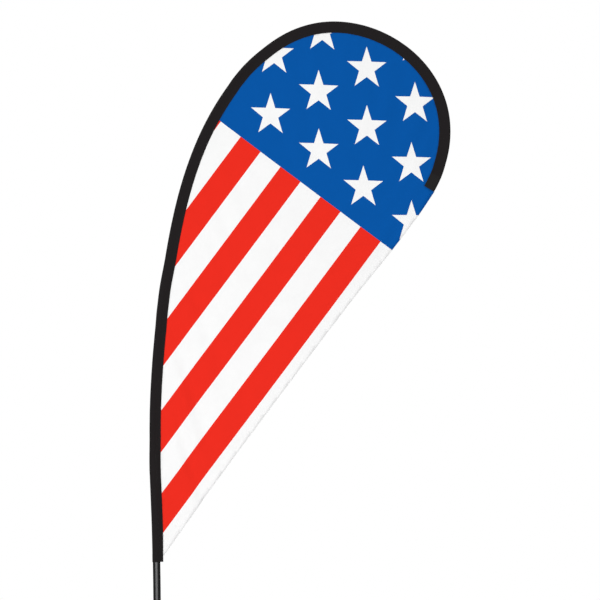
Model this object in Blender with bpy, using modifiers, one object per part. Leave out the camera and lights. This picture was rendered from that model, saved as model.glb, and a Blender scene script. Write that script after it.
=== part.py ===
"""Teardrop flag on a folding cross base with a ball-bearing spindle.

Metres, +Z up.  The pole stands at x = 0, y = 0 on the floor z = 0 and bends over
towards +X; the flag lies in the plane y = 0.
"""
import math

import bmesh
import bpy

GAP = 0.0003                      # clearance between neighbouring pieces

# --- line of the pole --------------------------------------------------------
# Direction of the bent pole in degrees from the vertical, one value for every
# HEADING_STEP of length measured up from the floor.
HEADING_STEP = 0.3
HEADINGS = (0.0, 0.0, -1.0, -2.2, 3.3, 7.4, 13.9, 28.1, 50.7, 97.4, 140.5, 190.2, 231.4)
LINE_STEP = 0.005                 # step used to add the direction up
STRAIGHT_END = 0.30               # the pole is straight and upright below this
GENTLE_END = 2.10                 # long stations up to here, short ones beyond
LONG_STATION = 0.06
SHORT_STATION = 0.04
LINE_END = 3.45

# --- cross base --------------------------------------------------------------
ARM_SPAN = 0.80
ARM_WIDTH = 0.040
ARM_HEIGHT = 0.020
ARM_WALL = 0.002
ARM_CORNER = 0.0025
ARM_ANGLE = math.radians(45.0)    # arms lie at 45 degrees to the flag
LOWER_ARM_Z = 0.0140              # underside of the lower arm
UPPER_ARM_Z = 0.0356              # underside of the upper arm
CAP_FLANGE = 0.003
CAP_PLUG = 0.014
SHANK_RADIUS = 0.0080
BUSH_BORE = 0.00835
BUSH_RADIUS = 0.0100
BUSH_HOLE = 0.01035
FOOT_INSET = 0.030                # from the end of the arm to the foot's middle
FOOT_RADIUS = 0.015
FOOT_STEM = 0.0040
FOOT_HOLE = 0.00435
FOOT_STEM_LENGTH = 0.006
WASHER_RADIUS = 0.019
NUT_FLATS = 0.024
NUT_BOTTOM = 0.0040
NUT_TOP = 0.0120
NUT_WASHER_RADIUS = 0.0150

# --- bearing -----------------------------------------------------------------
FLANGE_BOTTOM = 0.0559
FLANGE_TOP = 0.0609
FLANGE_RADIUS = 0.030
BARREL_RADIUS = 0.0220
BARREL_TOP = 0.0982
BORE_RADIUS = 0.0176
BEARING_WIDTH = 0.010
LOWER_BEARING_Z = 0.0643          # underside of the lower bearing
UPPER_BEARING_Z = 0.0800
OUTER_RING_RADIUS = 0.0172
OUTER_RING_SHOULDER = 0.0147
INNER_RING_RADIUS = 0.0114
INNER_RING_BORE = 0.00855
PITCH_RADIUS = 0.0130
BALL_RADIUS = 0.0025
BALL_COUNT = 7
GROOVE_RADIUS = 0.0030
CAGE_HALF_WIDTH = 0.0007
CAGE_HALF_HEIGHT = 0.0022
JOURNAL_RADIUS = 0.0082
SPINDLE_RADIUS = 0.0104
SPINDLE_SHOULDER = 0.0903
SPINDLE_FLANGE_Z = 0.0990
SPINDLE_FLANGE_TOP = 0.1030
SPINDLE_FLANGE_RADIUS = 0.0170
SPINDLE_TOP = 0.3030
SPINDLE_BOTTOM = 0.0612
SEAT_RADIUS = 0.0102              # spindle between the upper bearing and its flange
SHANK_BOTTOM = 0.0045
HOUSING_FLOOR = 0.0606
BORE_FLOOR = 0.0640
THROAT_RADIUS = 0.0140
HOUSING_GROOVE = (0.0900, 0.0918)
HOUSING_GROOVE_RADIUS = 0.0188
SPINDLE_GROOVE = (0.0627, 0.0643)
SPINDLE_GROOVE_RADIUS = 0.0074
OUTER_SPACER_BORE = 0.0155
INNER_SPACER_RADIUS = 0.0105
SEAL_BOTTOM = 0.0922
SEAL_TOP = 0.0958
SEAL_LIP_RADIUS = 0.0106
SEAL_NECK_RADIUS = 0.0115
SEAL_RADIUS = 0.0171
O_RING_HEIGHTS = (0.135, 0.275)
O_RING_CENTRE = 0.00985
O_RING_SECTION = 0.00075
O_RING_GROOVE = 0.00885

# --- pole --------------------------------------------------------------------
BASE_TUBE = (0.1033, 0.860)       # start and end along the pole
BASE_TUBE_RADIUS = 0.0125
BASE_TUBE_WALL = 0.0014
BUSH_TUBE = (0.785, 0.860)
BUSH_TUBE_RADIUS = 0.0106
BUSH_TUBE_WALL = 0.0008
BUSH_LIP = (0.8603, 0.8643)
BUSH_LIP_BORE = 0.00985
SECOND_TUBE = (0.765, 1.500)
SECOND_TUBE_RADIUS = 0.0094
SECOND_TUBE_WALL = 0.0019
SECOND_FERRULE = (1.460, 1.500)
THIRD_TUBE = (1.420, 2.300)
THIRD_TUBE_RADIUS = 0.0070
THIRD_TUBE_WALL = 0.0021
THIRD_FERRULE = (2.260, 2.300)
FERRULE_WALL = 0.0008
FERRULE_CLEARANCE = 0.0004
TIP_ROD = (2.205, 3.424)
TIP_ROD_RADIUS = 0.0045
TIP_ROD_END_RADIUS = 0.0030
TIP_CAP_RADIUS = 0.0048
TIP_CAP_BORE = 0.0034
TIP_CAP_DEPTH = 0.018
TIP_CAP_LENGTH = 0.022

# --- flag --------------------------------------------------------------------
SLEEVE_WIDTH = 0.0378             # flat width of the black sleeve, edge to edge
SLEEVE_WALL = 0.0006
SLEEVE_BOTTOM = 0.600
HEM_BAND_TOP = 0.625
POCKET_START = 3.390
SLEEVE_END = 3.4430
POCKET_FLOOR = 3.4387
# Room inside the sleeve for the pole: length along the pole, radius.
SLEEVE_ROOM = ((0.60, 0.0133), (0.90, 0.0133), (1.02, 0.0104), (1.38, 0.0104),
               (1.44, 0.0115), (1.50, 0.0115), (1.62, 0.0077), (2.22, 0.0077),
               (2.26, 0.0090), (2.30, 0.0090), (2.42, 0.0052), (3.34, 0.0042),
               (3.38, 0.0057), (3.45, 0.0057))
SEAM_FLAT = 0.006                 # stitched flat between the pocket and the panel
SEAM_HALF = 0.00085
POCKET_TIP_HALF = 0.00025
ARC_POINTS = 11
PANEL_HALF = 0.0005
TRAILING_TOP = (0.9232, 1.8337)
TRAILING_FOOT = (0.0225, 0.6220)
# How far the free edge lies inside the straight line from foot to top, evenly
# spaced: hollow along the stripes, full just below the sleeve's end.
TRAILING_HOLLOW = (0.0, 0.0027, 0.0046, 0.0059, 0.0070, 0.0079, 0.0085, 0.0089, 0.0089,
                   0.0087, 0.0081, 0.0070, 0.0046, 0.0002, -0.0022, -0.0040, 0.0)
TRAILING_POINTS = 32
HEM_WIDTH = 0.012
HEM_HALF = 0.0009
OVERRUN = 0.05                    # lines run this far past their ends, then are cut

# --- tension tab -------------------------------------------------------------
TAB_BOTTOM = 0.538
TAB_TOP = 0.655
TAB_HALF_WIDTH = 0.0100
TAB_CENTRE = -0.0008
TAB_BACK = 0.0152
TAB_THICKNESS = 0.0014
EYELET_Z = 0.5525
EYELET_BORE = 0.0048
EYELET_BARREL = 0.0060
EYELET_FLANGE = 0.0085
EYELET_LIP = 0.0006
HOOK_RADIUS = 0.0024
HOOK_HEAD_RADIUS = 0.0045
HOOK_HEAD_Y = 0.0083
HOOK_HEAD_THICKNESS = 0.0014

FLAG_NAME = "teardrop_flag"


# --- scene and materials -----------------------------------------------------
def clear_scene():
    for old in list(bpy.data.objects):
        bpy.data.objects.remove(old, do_unlink=True)


def new_collection(name):
    made = bpy.data.collections.new(name)
    bpy.context.scene.collection.children.link(made)
    return made


clear_scene()
PARTS = new_collection(FLAG_NAME)
CUTTERS = new_collection("cutters")

FINISHES = {
    "black_steel": ((0.015, 0.015, 0.016), 0.0, 0.45),
    "zinc_steel": ((0.60, 0.61, 0.62), 1.0, 0.35),
    "bearing_steel": ((0.56, 0.57, 0.58), 1.0, 0.18),
    "anodised": ((0.030, 0.030, 0.031), 0.9, 0.35),
    "fibreglass": ((0.012, 0.012, 0.013), 0.0, 0.30),
    "rubber": ((0.018, 0.018, 0.018), 0.0, 0.85),
    "plastic": ((0.022, 0.022, 0.023), 0.0, 0.55),
    "black_cloth": ((0.017, 0.014, 0.015), 0.0, 0.90),
    "blue_cloth": ((0.0, 0.091, 0.381), 0.0, 0.85),
    "white_cloth": ((0.80, 0.80, 0.80), 0.0, 0.85),
    "brass": ((0.80, 0.58, 0.27), 1.0, 0.25),
}


def give_material(piece, finish):
    colour, metallic, roughness = FINISHES[finish]
    made = bpy.data.materials.new(piece.name + "_" + finish)
    made.use_nodes = True
    shader = made.node_tree.nodes["Principled BSDF"]
    shader.inputs["Base Color"].default_value = (colour[0], colour[1], colour[2], 1.0)
    shader.inputs["Metallic"].default_value = metallic
    shader.inputs["Roughness"].default_value = roughness
    piece.data.materials.clear()
    piece.data.materials.append(made)


def add_object(name, data, finish):
    piece = bpy.data.objects.new(name, data)
    if finish is None:
        CUTTERS.objects.link(piece)
        piece.hide_render = True
        piece.display_type = "WIRE"
    else:
        PARTS.objects.link(piece)
        give_material(piece, finish)
    return piece


# --- solids ------------------------------------------------------------------
def box(name, size, middle, finish):
    shape = bmesh.new()
    bmesh.ops.create_cube(shape, size=1.0)
    for corner in shape.verts:
        for axis in range(3):
            corner.co[axis] = corner.co[axis] * size[axis] + middle[axis]
    mesh = bpy.data.meshes.new(name)
    shape.to_mesh(mesh)
    shape.free()
    return add_object(name, mesh, finish)


def cylinder_cutter(name, radius, height, middle, sides=24):
    shape = bmesh.new()
    bmesh.ops.create_cone(shape, cap_ends=True, segments=sides, radius1=radius,
                          radius2=radius, depth=height)
    for corner in shape.verts:
        for axis in range(3):
            corner.co[axis] += middle[axis]
    mesh = bpy.data.meshes.new(name)
    shape.to_mesh(mesh)
    shape.free()
    return add_object(name, mesh, None)


def combine(piece, other, operation):
    step = piece.modifiers.new(other.name, "BOOLEAN")
    step.operation = operation
    step.solver = "EXACT"
    step.object = other


def revolve(name, profile, finish, steps=24, closed=True):
    """Turn a (radius, height) outline round the Z axis.

    A closed outline makes a ring; an open one starts and ends on the axis."""
    mesh = bpy.data.meshes.new(name)
    count = len(profile)
    edges = [(i, i + 1) for i in range(count - 1)]
    if closed:
        edges.append((count - 1, 0))
    mesh.from_pydata([(radius, 0.0, height) for radius, height in profile], edges, [])
    piece = add_object(name, mesh, finish)
    turn = piece.modifiers.new("turn", "SCREW")
    turn.axis = "Z"
    turn.steps = steps
    turn.render_steps = steps
    turn.use_merge_vertices = True
    turn.merge_threshold = 0.00001
    turn.use_normal_flip = True
    return piece


def ring(name, inner, outer, bottom, top, finish, steps=24):
    profile = ((inner, bottom), (outer, bottom), (outer, top), (inner, top))
    return revolve(name, profile, finish, steps)


def plate(name, outlines, half_thickness, finish):
    """A flat outline (with holes) thickened along its own Z."""
    curve = bpy.data.curves.new(name, "CURVE")
    curve.dimensions = "2D"
    curve.fill_mode = "BOTH"
    curve.extrude = half_thickness
    for outline in outlines:
        spline = curve.splines.new("POLY")
        spline.points.add(len(outline) - 1)
        for i, (across, along) in enumerate(outline):
            spline.points[i].co = (across, along, 0.0, 1.0)
        spline.use_cyclic_u = True
    return add_object(name, curve, finish)


def arc(radius, start, end, count):
    angles = [math.radians(start + (end - start) * i / (count - 1)) for i in range(count)]
    return [(radius * math.cos(a), radius * math.sin(a)) for a in angles]


def circle(radius, count):
    return arc(radius, 0.0, 360.0 * (count - 1) / count, count)


# --- line of the pole --------------------------------------------------------
def eased(values, place):
    """A smooth curve through evenly spaced values; place 1.0 is the second one."""
    last = len(values) - 1
    table = (2.0 * values[0] - values[1],) + values
    table = table + (2.0 * values[last] - values[last - 1],)
    i = min(int(place), last - 1)
    t = place - i
    a, b, c, d = table[i:i + 4]
    return 0.5 * (2.0 * b + (c - a) * t + (2.0 * a - 5.0 * b + 4.0 * c - d) * t * t
                  + (3.0 * b - a - 3.0 * c + d) * t * t * t)


def heading_at(length):
    """Direction of the pole at a length measured up from the floor."""
    if length <= STRAIGHT_END:
        return 0.0
    return math.radians(eased(HEADINGS, length / HEADING_STEP))


def station_lengths():
    lengths = [0.0]
    here = STRAIGHT_END
    while here < LINE_END - LINE_STEP / 2:
        lengths.append(here)
        here += LONG_STATION if here < GENTLE_END - LINE_STEP / 2 else SHORT_STATION
    lengths.append(LINE_END)
    return lengths


def station_points(lengths):
    points = []
    x = z = here = 0.0
    for target in lengths:
        while here < target - LINE_STEP / 2:
            middle = heading_at(here + LINE_STEP / 2)
            x += math.sin(middle) * LINE_STEP
            z += math.cos(middle) * LINE_STEP
            here += LINE_STEP
        points.append((x, z))
    return points


STATIONS = station_lengths()
POINTS = station_points(STATIONS)


def chord_direction(index):
    x = POINTS[index + 1][0] - POINTS[index][0]
    z = POINTS[index + 1][1] - POINTS[index][1]
    size = math.hypot(x, z)
    return x / size, z / size


def chord_at(length):
    for i in range(len(STATIONS) - 1):
        if length < STATIONS[i + 1]:
            return i
    return len(STATIONS) - 2


def axis_point(length):
    """Middle of the pole, on the straight chord between two stations."""
    i = chord_at(length)
    t = (length - STATIONS[i]) / (STATIONS[i + 1] - STATIONS[i])
    return (POINTS[i][0] + (POINTS[i + 1][0] - POINTS[i][0]) * t,
            POINTS[i][1] + (POINTS[i + 1][1] - POINTS[i][1]) * t)


def station_direction(index):
    """Along the pole at a station: the mean of the chords on either side."""
    after = chord_direction(min(index, len(STATIONS) - 2))
    before = chord_direction(max(index - 1, 0))
    return after[0] + before[0], after[1] + before[1]


def axis_direction(length):
    i = chord_at(length)
    t = (length - STATIONS[i]) / (STATIONS[i + 1] - STATIONS[i])
    start = station_direction(i)
    end = station_direction(i + 1)
    x = start[0] + (end[0] - start[0]) * t
    z = start[1] + (end[1] - start[1]) * t
    size = math.hypot(x, z)
    return x / size, z / size


def beside_axis(length, outward):
    """A point in the flag's plane, outward from the middle of the pole."""
    x, z = axis_point(length)
    along = axis_direction(length)
    return x - along[1] * outward, z + along[0] * outward


def lengths_between(start, end):
    inside = [s for s in STATIONS if start + 0.001 < s < end - 0.001]
    return [start] + inside + [end]


def bent_bar(name, span, radius, resolution, end_radius=None):
    """A round bar along the pole's line; returns the curve's data."""
    lengths = lengths_between(span[0], span[1])
    curve = bpy.data.curves.new(name, "CURVE")
    curve.dimensions = "3D"
    curve.bevel_depth = radius
    curve.bevel_resolution = resolution
    spline = curve.splines.new("POLY")
    spline.points.add(len(lengths) - 1)
    for i, length in enumerate(lengths):
        x, z = axis_point(length)
        spline.points[i].co = (x, 0.0, z, 1.0)
        if end_radius is not None:
            t = (length - span[0]) / (span[1] - span[0])
            spline.points[i].radius = 1.0 + (end_radius / radius - 1.0) * t
    return curve


def bent_tube(name, span, radius, wall, resolution, finish):
    curve = bent_bar(name, span, radius, resolution)
    piece = add_object(name, curve, finish)
    shell = piece.modifiers.new("wall", "SOLIDIFY")
    shell.thickness = wall
    shell.offset = -1.0
    shell.use_even_offset = True
    return piece


# --- cross base --------------------------------------------------------------
def arm(name, bottom, angle, finish):
    length = ARM_SPAN - 2 * CAP_FLANGE - 2 * GAP
    middle = (0.0, 0.0, bottom + ARM_HEIGHT / 2)
    piece = box(name, (length, ARM_WIDTH, ARM_HEIGHT), middle, finish)
    inside = (length + 0.01, ARM_WIDTH - 2 * ARM_WALL, ARM_HEIGHT - 2 * ARM_WALL)
    hollow = box(name + "_hollow", inside, middle, None)
    hub_hole = cylinder_cutter(name + "_hub_hole", BUSH_HOLE, 0.03, middle)
    cutters = [hollow, hub_hole]
    for side in (-1, 1):
        place = (side * (ARM_SPAN / 2 - FOOT_INSET), 0.0, bottom)
        cutters.append(cylinder_cutter(name + "_foot_hole", FOOT_HOLE, 0.008, place, 12))
    for cutter in cutters:
        cutter.parent = piece
        combine(piece, cutter, "DIFFERENCE")
    piece.rotation_euler = (0.0, 0.0, angle)
    return piece


def round_arm_corners(piece):
    """Rounded long corners, as on a cold-drawn rectangular tube."""
    shape = bmesh.new()
    shape.from_mesh(piece.data)
    long_edges = []
    for edge in shape.edges:
        run = edge.verts[1].co - edge.verts[0].co
        if abs(run.x) > ARM_SPAN / 2:
            long_edges.append(edge)
    bmesh.ops.bevel(shape, geom=long_edges, offset=ARM_CORNER, segments=2, profile=0.5,
                    affect="EDGES")
    shape.to_mesh(piece.data)
    shape.free()


def end_cap(name, bottom, side, arm_piece, finish):
    outer_x = side * (ARM_SPAN / 2 - CAP_FLANGE / 2)
    plug_x = side * (ARM_SPAN / 2 - CAP_FLANGE - CAP_PLUG / 2 + 0.001)
    middle_z = bottom + ARM_HEIGHT / 2
    cap = box(name, (CAP_FLANGE, ARM_WIDTH, ARM_HEIGHT), (outer_x, 0.0, middle_z), finish)
    trim = 2 * ARM_WALL + 2 * GAP
    plug_size = (CAP_PLUG + 0.002, ARM_WIDTH - trim, ARM_HEIGHT - trim)
    plug = box(name + "_plug", plug_size, (plug_x, 0.0, middle_z), None)
    plug.parent = cap
    combine(cap, plug, "UNION")
    cap.rotation_euler = arm_piece.rotation_euler
    return cap


def foot(name, height, side, angle, finish):
    top = height - GAP
    profile = ((0.0, 0.0), (FOOT_RADIUS - 0.001, 0.0), (FOOT_RADIUS, 0.001),
               (FOOT_RADIUS - 0.0015, top), (FOOT_STEM, top),
               (FOOT_STEM, top + FOOT_STEM_LENGTH), (0.0, top + FOOT_STEM_LENGTH))
    piece = revolve(name, profile, finish, 16, closed=False)
    reach = side * (ARM_SPAN / 2 - FOOT_INSET)
    piece.location = (reach * math.cos(angle), reach * math.sin(angle), 0.0)
    return piece


def cross_base():
    layers = (("lower", LOWER_ARM_Z, ARM_ANGLE), ("upper", UPPER_ARM_Z, -ARM_ANGLE))
    for layer, bottom, angle in layers:
        beam = arm(layer + "_arm", bottom, angle, "black_steel")
        round_arm_corners(beam)
        ring(layer + "_arm_bush", BUSH_BORE, BUSH_RADIUS, bottom, bottom + ARM_HEIGHT,
             "black_steel", 20)
        for side, end in ((-1, "a"), (1, "b")):
            end_cap(layer + "_end_cap_" + end, bottom, side, beam, "plastic")
            foot(layer + "_foot_" + end, bottom, side, angle, "rubber")
    ring("friction_washer", BUSH_BORE, WASHER_RADIUS, LOWER_ARM_Z + ARM_HEIGHT + GAP,
         UPPER_ARM_Z - GAP, "plastic", 20)
    ring("nut_washer", BUSH_BORE, NUT_WASHER_RADIUS, NUT_TOP + GAP, LOWER_ARM_Z - GAP,
         "zinc_steel", 20)
    corner = NUT_FLATS / math.sqrt(3.0)
    nut = plate("hub_lock_nut", (circle(corner, 6), circle(BUSH_BORE, 20)),
                (NUT_TOP - NUT_BOTTOM) / 2, "zinc_steel")
    nut.location = (0.0, 0.0, (NUT_TOP + NUT_BOTTOM) / 2)
    cup = ((0.0, 0.0), (0.020, 0.0), (0.021, 0.001), (0.021, LOWER_ARM_Z - GAP),
           (0.0155, LOWER_ARM_Z - GAP), (0.0155, 0.0032), (0.0, 0.0032))
    revolve("hub_foot", cup, "rubber", 24, closed=False)


# --- bearing housing and spindle ---------------------------------------------
def circlip(name, inner, outer, half_thickness, middle_z, opening, finish):
    band = arc(outer, opening, 360.0 - opening, 15)
    band += arc(inner, 360.0 - opening, opening, 15)
    clip = plate(name, (band,), half_thickness, finish)
    clip.location = (0.0, 0.0, middle_z)
    return clip


def groove(shoulder, middle_z, side):
    """Ball track in a ring; side +1 for the outer ring, -1 for the inner."""
    reach = side * (shoulder - PITCH_RADIUS)
    edge = math.degrees(math.acos(reach / GROOVE_RADIUS))
    points = []
    for i in range(5):
        turn = math.radians(-edge + 2 * edge * i / 4)
        points.append((PITCH_RADIUS + side * GROOVE_RADIUS * math.cos(turn),
                       middle_z + GROOVE_RADIUS * math.sin(turn)))
    return points


def bearing(layer, bottom):
    top = bottom + BEARING_WIDTH
    middle = (bottom + top) / 2
    outer = [(OUTER_RING_SHOULDER, bottom), (OUTER_RING_RADIUS, bottom)]
    outer += [(OUTER_RING_RADIUS, top), (OUTER_RING_SHOULDER, top)]
    outer += reversed(groove(OUTER_RING_SHOULDER, middle, 1))
    revolve(layer + "_outer_ring", outer, "bearing_steel")
    inner = [(INNER_RING_RADIUS, top), (INNER_RING_BORE, top)]
    inner += [(INNER_RING_BORE, bottom), (INNER_RING_RADIUS, bottom)]
    inner += groove(INNER_RING_RADIUS, middle, -1)
    revolve(layer + "_inner_ring", inner, "bearing_steel")
    ball_cage(layer + "_ball_cage", middle)


def ball_cage(name, middle):
    cage = ring(name, PITCH_RADIUS - CAGE_HALF_WIDTH, PITCH_RADIUS + CAGE_HALF_WIDTH,
                middle - CAGE_HALF_HEIGHT, middle + CAGE_HALF_HEIGHT, "bearing_steel", 14)
    shape = bmesh.new()
    for i in range(BALL_COUNT):
        turn = math.radians(360.0 * i / BALL_COUNT)
        made = bmesh.ops.create_uvsphere(shape, u_segments=6, v_segments=5,
                                         radius=BALL_RADIUS)
        for corner in made["verts"]:
            corner.co.x += PITCH_RADIUS * math.cos(turn)
            corner.co.y += PITCH_RADIUS * math.sin(turn)
            corner.co.z += middle
    mesh = bpy.data.meshes.new(name + "_balls")
    shape.to_mesh(mesh)
    shape.free()
    combine(cage, add_object(name + "_balls", mesh, None), "UNION")


def bearing_unit():
    housing = ((0.0, SHANK_BOTTOM), (SHANK_RADIUS - 0.0007, SHANK_BOTTOM),
               (SHANK_RADIUS, SHANK_BOTTOM + 0.0007),
               (SHANK_RADIUS, FLANGE_BOTTOM), (FLANGE_RADIUS, FLANGE_BOTTOM),
               (FLANGE_RADIUS, FLANGE_TOP - 0.001), (FLANGE_RADIUS - 0.001, FLANGE_TOP),
               (BARREL_RADIUS + 0.002, FLANGE_TOP), (BARREL_RADIUS, FLANGE_TOP + 0.002),
               (BARREL_RADIUS, BARREL_TOP - 0.001), (BARREL_RADIUS - 0.001, BARREL_TOP),
               (BORE_RADIUS, BARREL_TOP), (BORE_RADIUS, HOUSING_GROOVE[1]),
               (HOUSING_GROOVE_RADIUS, HOUSING_GROOVE[1]),
               (HOUSING_GROOVE_RADIUS, HOUSING_GROOVE[0]),
               (BORE_RADIUS, HOUSING_GROOVE[0]), (BORE_RADIUS, BORE_FLOOR),
               (THROAT_RADIUS, BORE_FLOOR), (THROAT_RADIUS, HOUSING_FLOOR),
               (0.0, HOUSING_FLOOR))
    revolve("bearing_housing", housing, "black_steel", 24, closed=False)
    bearing("lower", LOWER_BEARING_Z)
    bearing("upper", UPPER_BEARING_Z)
    spacer_bottom = LOWER_BEARING_Z + BEARING_WIDTH + GAP
    spacer_top = UPPER_BEARING_Z - GAP
    ring("outer_spacer", OUTER_SPACER_BORE, OUTER_RING_RADIUS, spacer_bottom, spacer_top,
         "zinc_steel")
    ring("inner_spacer", INNER_RING_BORE, INNER_SPACER_RADIUS, spacer_bottom, spacer_top,
         "zinc_steel")
    circlip("housing_circlip", HOUSING_GROOVE_RADIUS - 0.0030, HOUSING_GROOVE_RADIUS - 0.0004,
            0.0006, sum(HOUSING_GROOVE) / 2, 14.0, "zinc_steel")
    circlip("spindle_circlip", SPINDLE_GROOVE_RADIUS + GAP, SPINDLE_GROOVE_RADIUS + 0.0026,
            0.0005, sum(SPINDLE_GROOVE) / 2, 20.0, "zinc_steel")
    seal = ((SEAL_LIP_RADIUS, SEAL_BOTTOM + 0.0004), (SEAL_NECK_RADIUS, SEAL_BOTTOM),
            (SEAL_RADIUS, SEAL_BOTTOM), (SEAL_RADIUS, SEAL_TOP),
            (SEAL_NECK_RADIUS, SEAL_TOP), (SEAL_LIP_RADIUS, SEAL_TOP - 0.0008))
    revolve("dust_seal", seal, "rubber", 24)


def spindle():
    profile = [(0.0, SPINDLE_BOTTOM), (JOURNAL_RADIUS - 0.0004, SPINDLE_BOTTOM),
               (JOURNAL_RADIUS, SPINDLE_BOTTOM + 0.0004), (JOURNAL_RADIUS, SPINDLE_GROOVE[0]),
               (SPINDLE_GROOVE_RADIUS, SPINDLE_GROOVE[0]),
               (SPINDLE_GROOVE_RADIUS, SPINDLE_GROOVE[1]),
               (JOURNAL_RADIUS, SPINDLE_GROOVE[1]), (JOURNAL_RADIUS, SPINDLE_SHOULDER),
               (SEAT_RADIUS, SPINDLE_SHOULDER), (SEAT_RADIUS, SPINDLE_FLANGE_Z),
               (SPINDLE_FLANGE_RADIUS, SPINDLE_FLANGE_Z),
               (SPINDLE_FLANGE_RADIUS, SPINDLE_FLANGE_TOP),
               (SPINDLE_RADIUS, SPINDLE_FLANGE_TOP)]
    reach = O_RING_SECTION + GAP
    for height in O_RING_HEIGHTS:
        profile += [(SPINDLE_RADIUS, height - reach), (O_RING_GROOVE, height - reach),
                    (O_RING_GROOVE, height + reach), (SPINDLE_RADIUS, height + reach)]
    profile += [(SPINDLE_RADIUS, SPINDLE_TOP - 0.003), (0.0088, SPINDLE_TOP),
                (0.0, SPINDLE_TOP)]
    revolve("spindle", profile, "zinc_steel", 20, closed=False)
    for i, height in enumerate(O_RING_HEIGHTS):
        section = [(O_RING_CENTRE + across, height + along)
                   for across, along in circle(O_RING_SECTION, 5)]
        revolve("o_ring_" + ("lower", "upper")[i], section, "rubber", 20)


# --- pole sections -----------------------------------------------------------
def pole_sections():
    pole_base_tube()
    bent_tube("base_tube_bush", BUSH_TUBE, BUSH_TUBE_RADIUS, BUSH_TUBE_WALL, 4, "plastic")
    lip_wall = BASE_TUBE_RADIUS - BUSH_LIP_BORE
    bent_tube("base_tube_lip", BUSH_LIP, BASE_TUBE_RADIUS, lip_wall, 4, "plastic")
    bent_tube("pole_second_tube", SECOND_TUBE, SECOND_TUBE_RADIUS, SECOND_TUBE_WALL, 4,
              "fibreglass")
    bent_tube("pole_third_tube", THIRD_TUBE, THIRD_TUBE_RADIUS, THIRD_TUBE_WALL, 4,
              "fibreglass")
    ferrules = (("second_ferrule", SECOND_FERRULE, SECOND_TUBE_RADIUS),
                ("third_ferrule", THIRD_FERRULE, THIRD_TUBE_RADIUS))
    for name, span, tube_radius in ferrules:
        outer = tube_radius + FERRULE_CLEARANCE + FERRULE_WALL
        bent_tube(name, span, outer, FERRULE_WALL, 4, "anodised")
    tip = bent_bar("pole_tip_rod", TIP_ROD, TIP_ROD_RADIUS, 2, TIP_ROD_END_RADIUS)
    tip.use_fill_caps = True
    add_object("pole_tip_rod", tip, "fibreglass")
    tip_cap()


def pole_base_tube():
    """Straight and bent runs in one tube, with the hole for the hook's rivet."""
    shape = bent_tube("pole_base_tube_shape", BASE_TUBE, BASE_TUBE_RADIUS, BASE_TUBE_WALL,
                      6, "anodised")
    bpy.context.view_layer.update()
    view = bpy.context.evaluated_depsgraph_get()
    mesh = bpy.data.meshes.new_from_object(shape.evaluated_get(view))
    bpy.data.objects.remove(shape, do_unlink=True)
    piece = add_object("pole_base_tube", mesh, "anodised")
    x = beside_axis(EYELET_Z, 0.0)[0]
    hole = cylinder_cutter("hook_hole", HOOK_RADIUS + GAP, 0.010, (0.0, 0.0, 0.0), 12)
    hole.rotation_euler = (math.radians(90.0), 0.0, 0.0)
    hole.location = (x, BASE_TUBE_RADIUS, EYELET_Z)
    combine(piece, hole, "DIFFERENCE")


def tip_cap():
    start = TIP_ROD[1] - TIP_CAP_DEPTH
    profile = ((0.0, TIP_CAP_DEPTH + GAP), (TIP_CAP_BORE, TIP_CAP_DEPTH + GAP),
               (TIP_CAP_BORE, 0.0), (TIP_CAP_RADIUS, 0.0),
               (TIP_CAP_RADIUS, TIP_CAP_LENGTH - 0.002),
               (TIP_CAP_RADIUS - 0.002, TIP_CAP_LENGTH), (0.0, TIP_CAP_LENGTH))
    cap = revolve("tip_cap", profile, "rubber", 12, closed=False)
    x, z = axis_point(start)
    end_x, end_z = axis_point(TIP_ROD[1])
    cap.location = (x, 0.0, z)
    cap.rotation_euler = (0.0, math.atan2(end_x - x, end_z - z), 0.0)


# --- flag --------------------------------------------------------------------
def room_at(length):
    for (a, low), (b, high) in zip(SLEEVE_ROOM[:-1], SLEEVE_ROOM[1:]):
        if length <= b:
            t = (length - a) / (b - a)
            t = t * t * (3.0 - 2.0 * t)
            return low + (high - low) * t
    return SLEEVE_ROOM[-1][1]


def inner_edge(length):
    """From the pole's middle to the flag side of the sleeve."""
    return SLEEVE_WIDTH - room_at(length) - SLEEVE_WALL


def ring_points(length, radius, tip, half_tip):
    """Round the pole on the outside, drawn flat to the seam on the flag side."""
    distance = math.hypot(tip, half_tip)
    reach = math.pi - math.atan2(half_tip, tip) - math.acos(radius / distance)
    across = []
    for i in range(ARC_POINTS):
        turn = -reach + 2.0 * reach * i / (ARC_POINTS - 1)
        across.append((radius * math.cos(turn), radius * math.sin(turn)))
    across.append((-tip, half_tip))
    across.append((-tip, -half_tip))
    points = []
    for outward, depth in across:
        x, z = beside_axis(length, outward)
        points.append((x, depth, z))
    return points


def outer_ring(length):
    return ring_points(length, room_at(length) + SLEEVE_WALL, inner_edge(length), SEAM_HALF)


def pocket_ring(length):
    tip = inner_edge(length) - SEAM_FLAT
    return ring_points(length, room_at(length), tip, POCKET_TIP_HALF)


def bridge(faces, first, second, count, outward):
    for i in range(count):
        j = (i + 1) % count
        face = (first + i, first + j, second + j, second + i)
        faces.append(tuple(reversed(face)) if outward else face)


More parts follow.
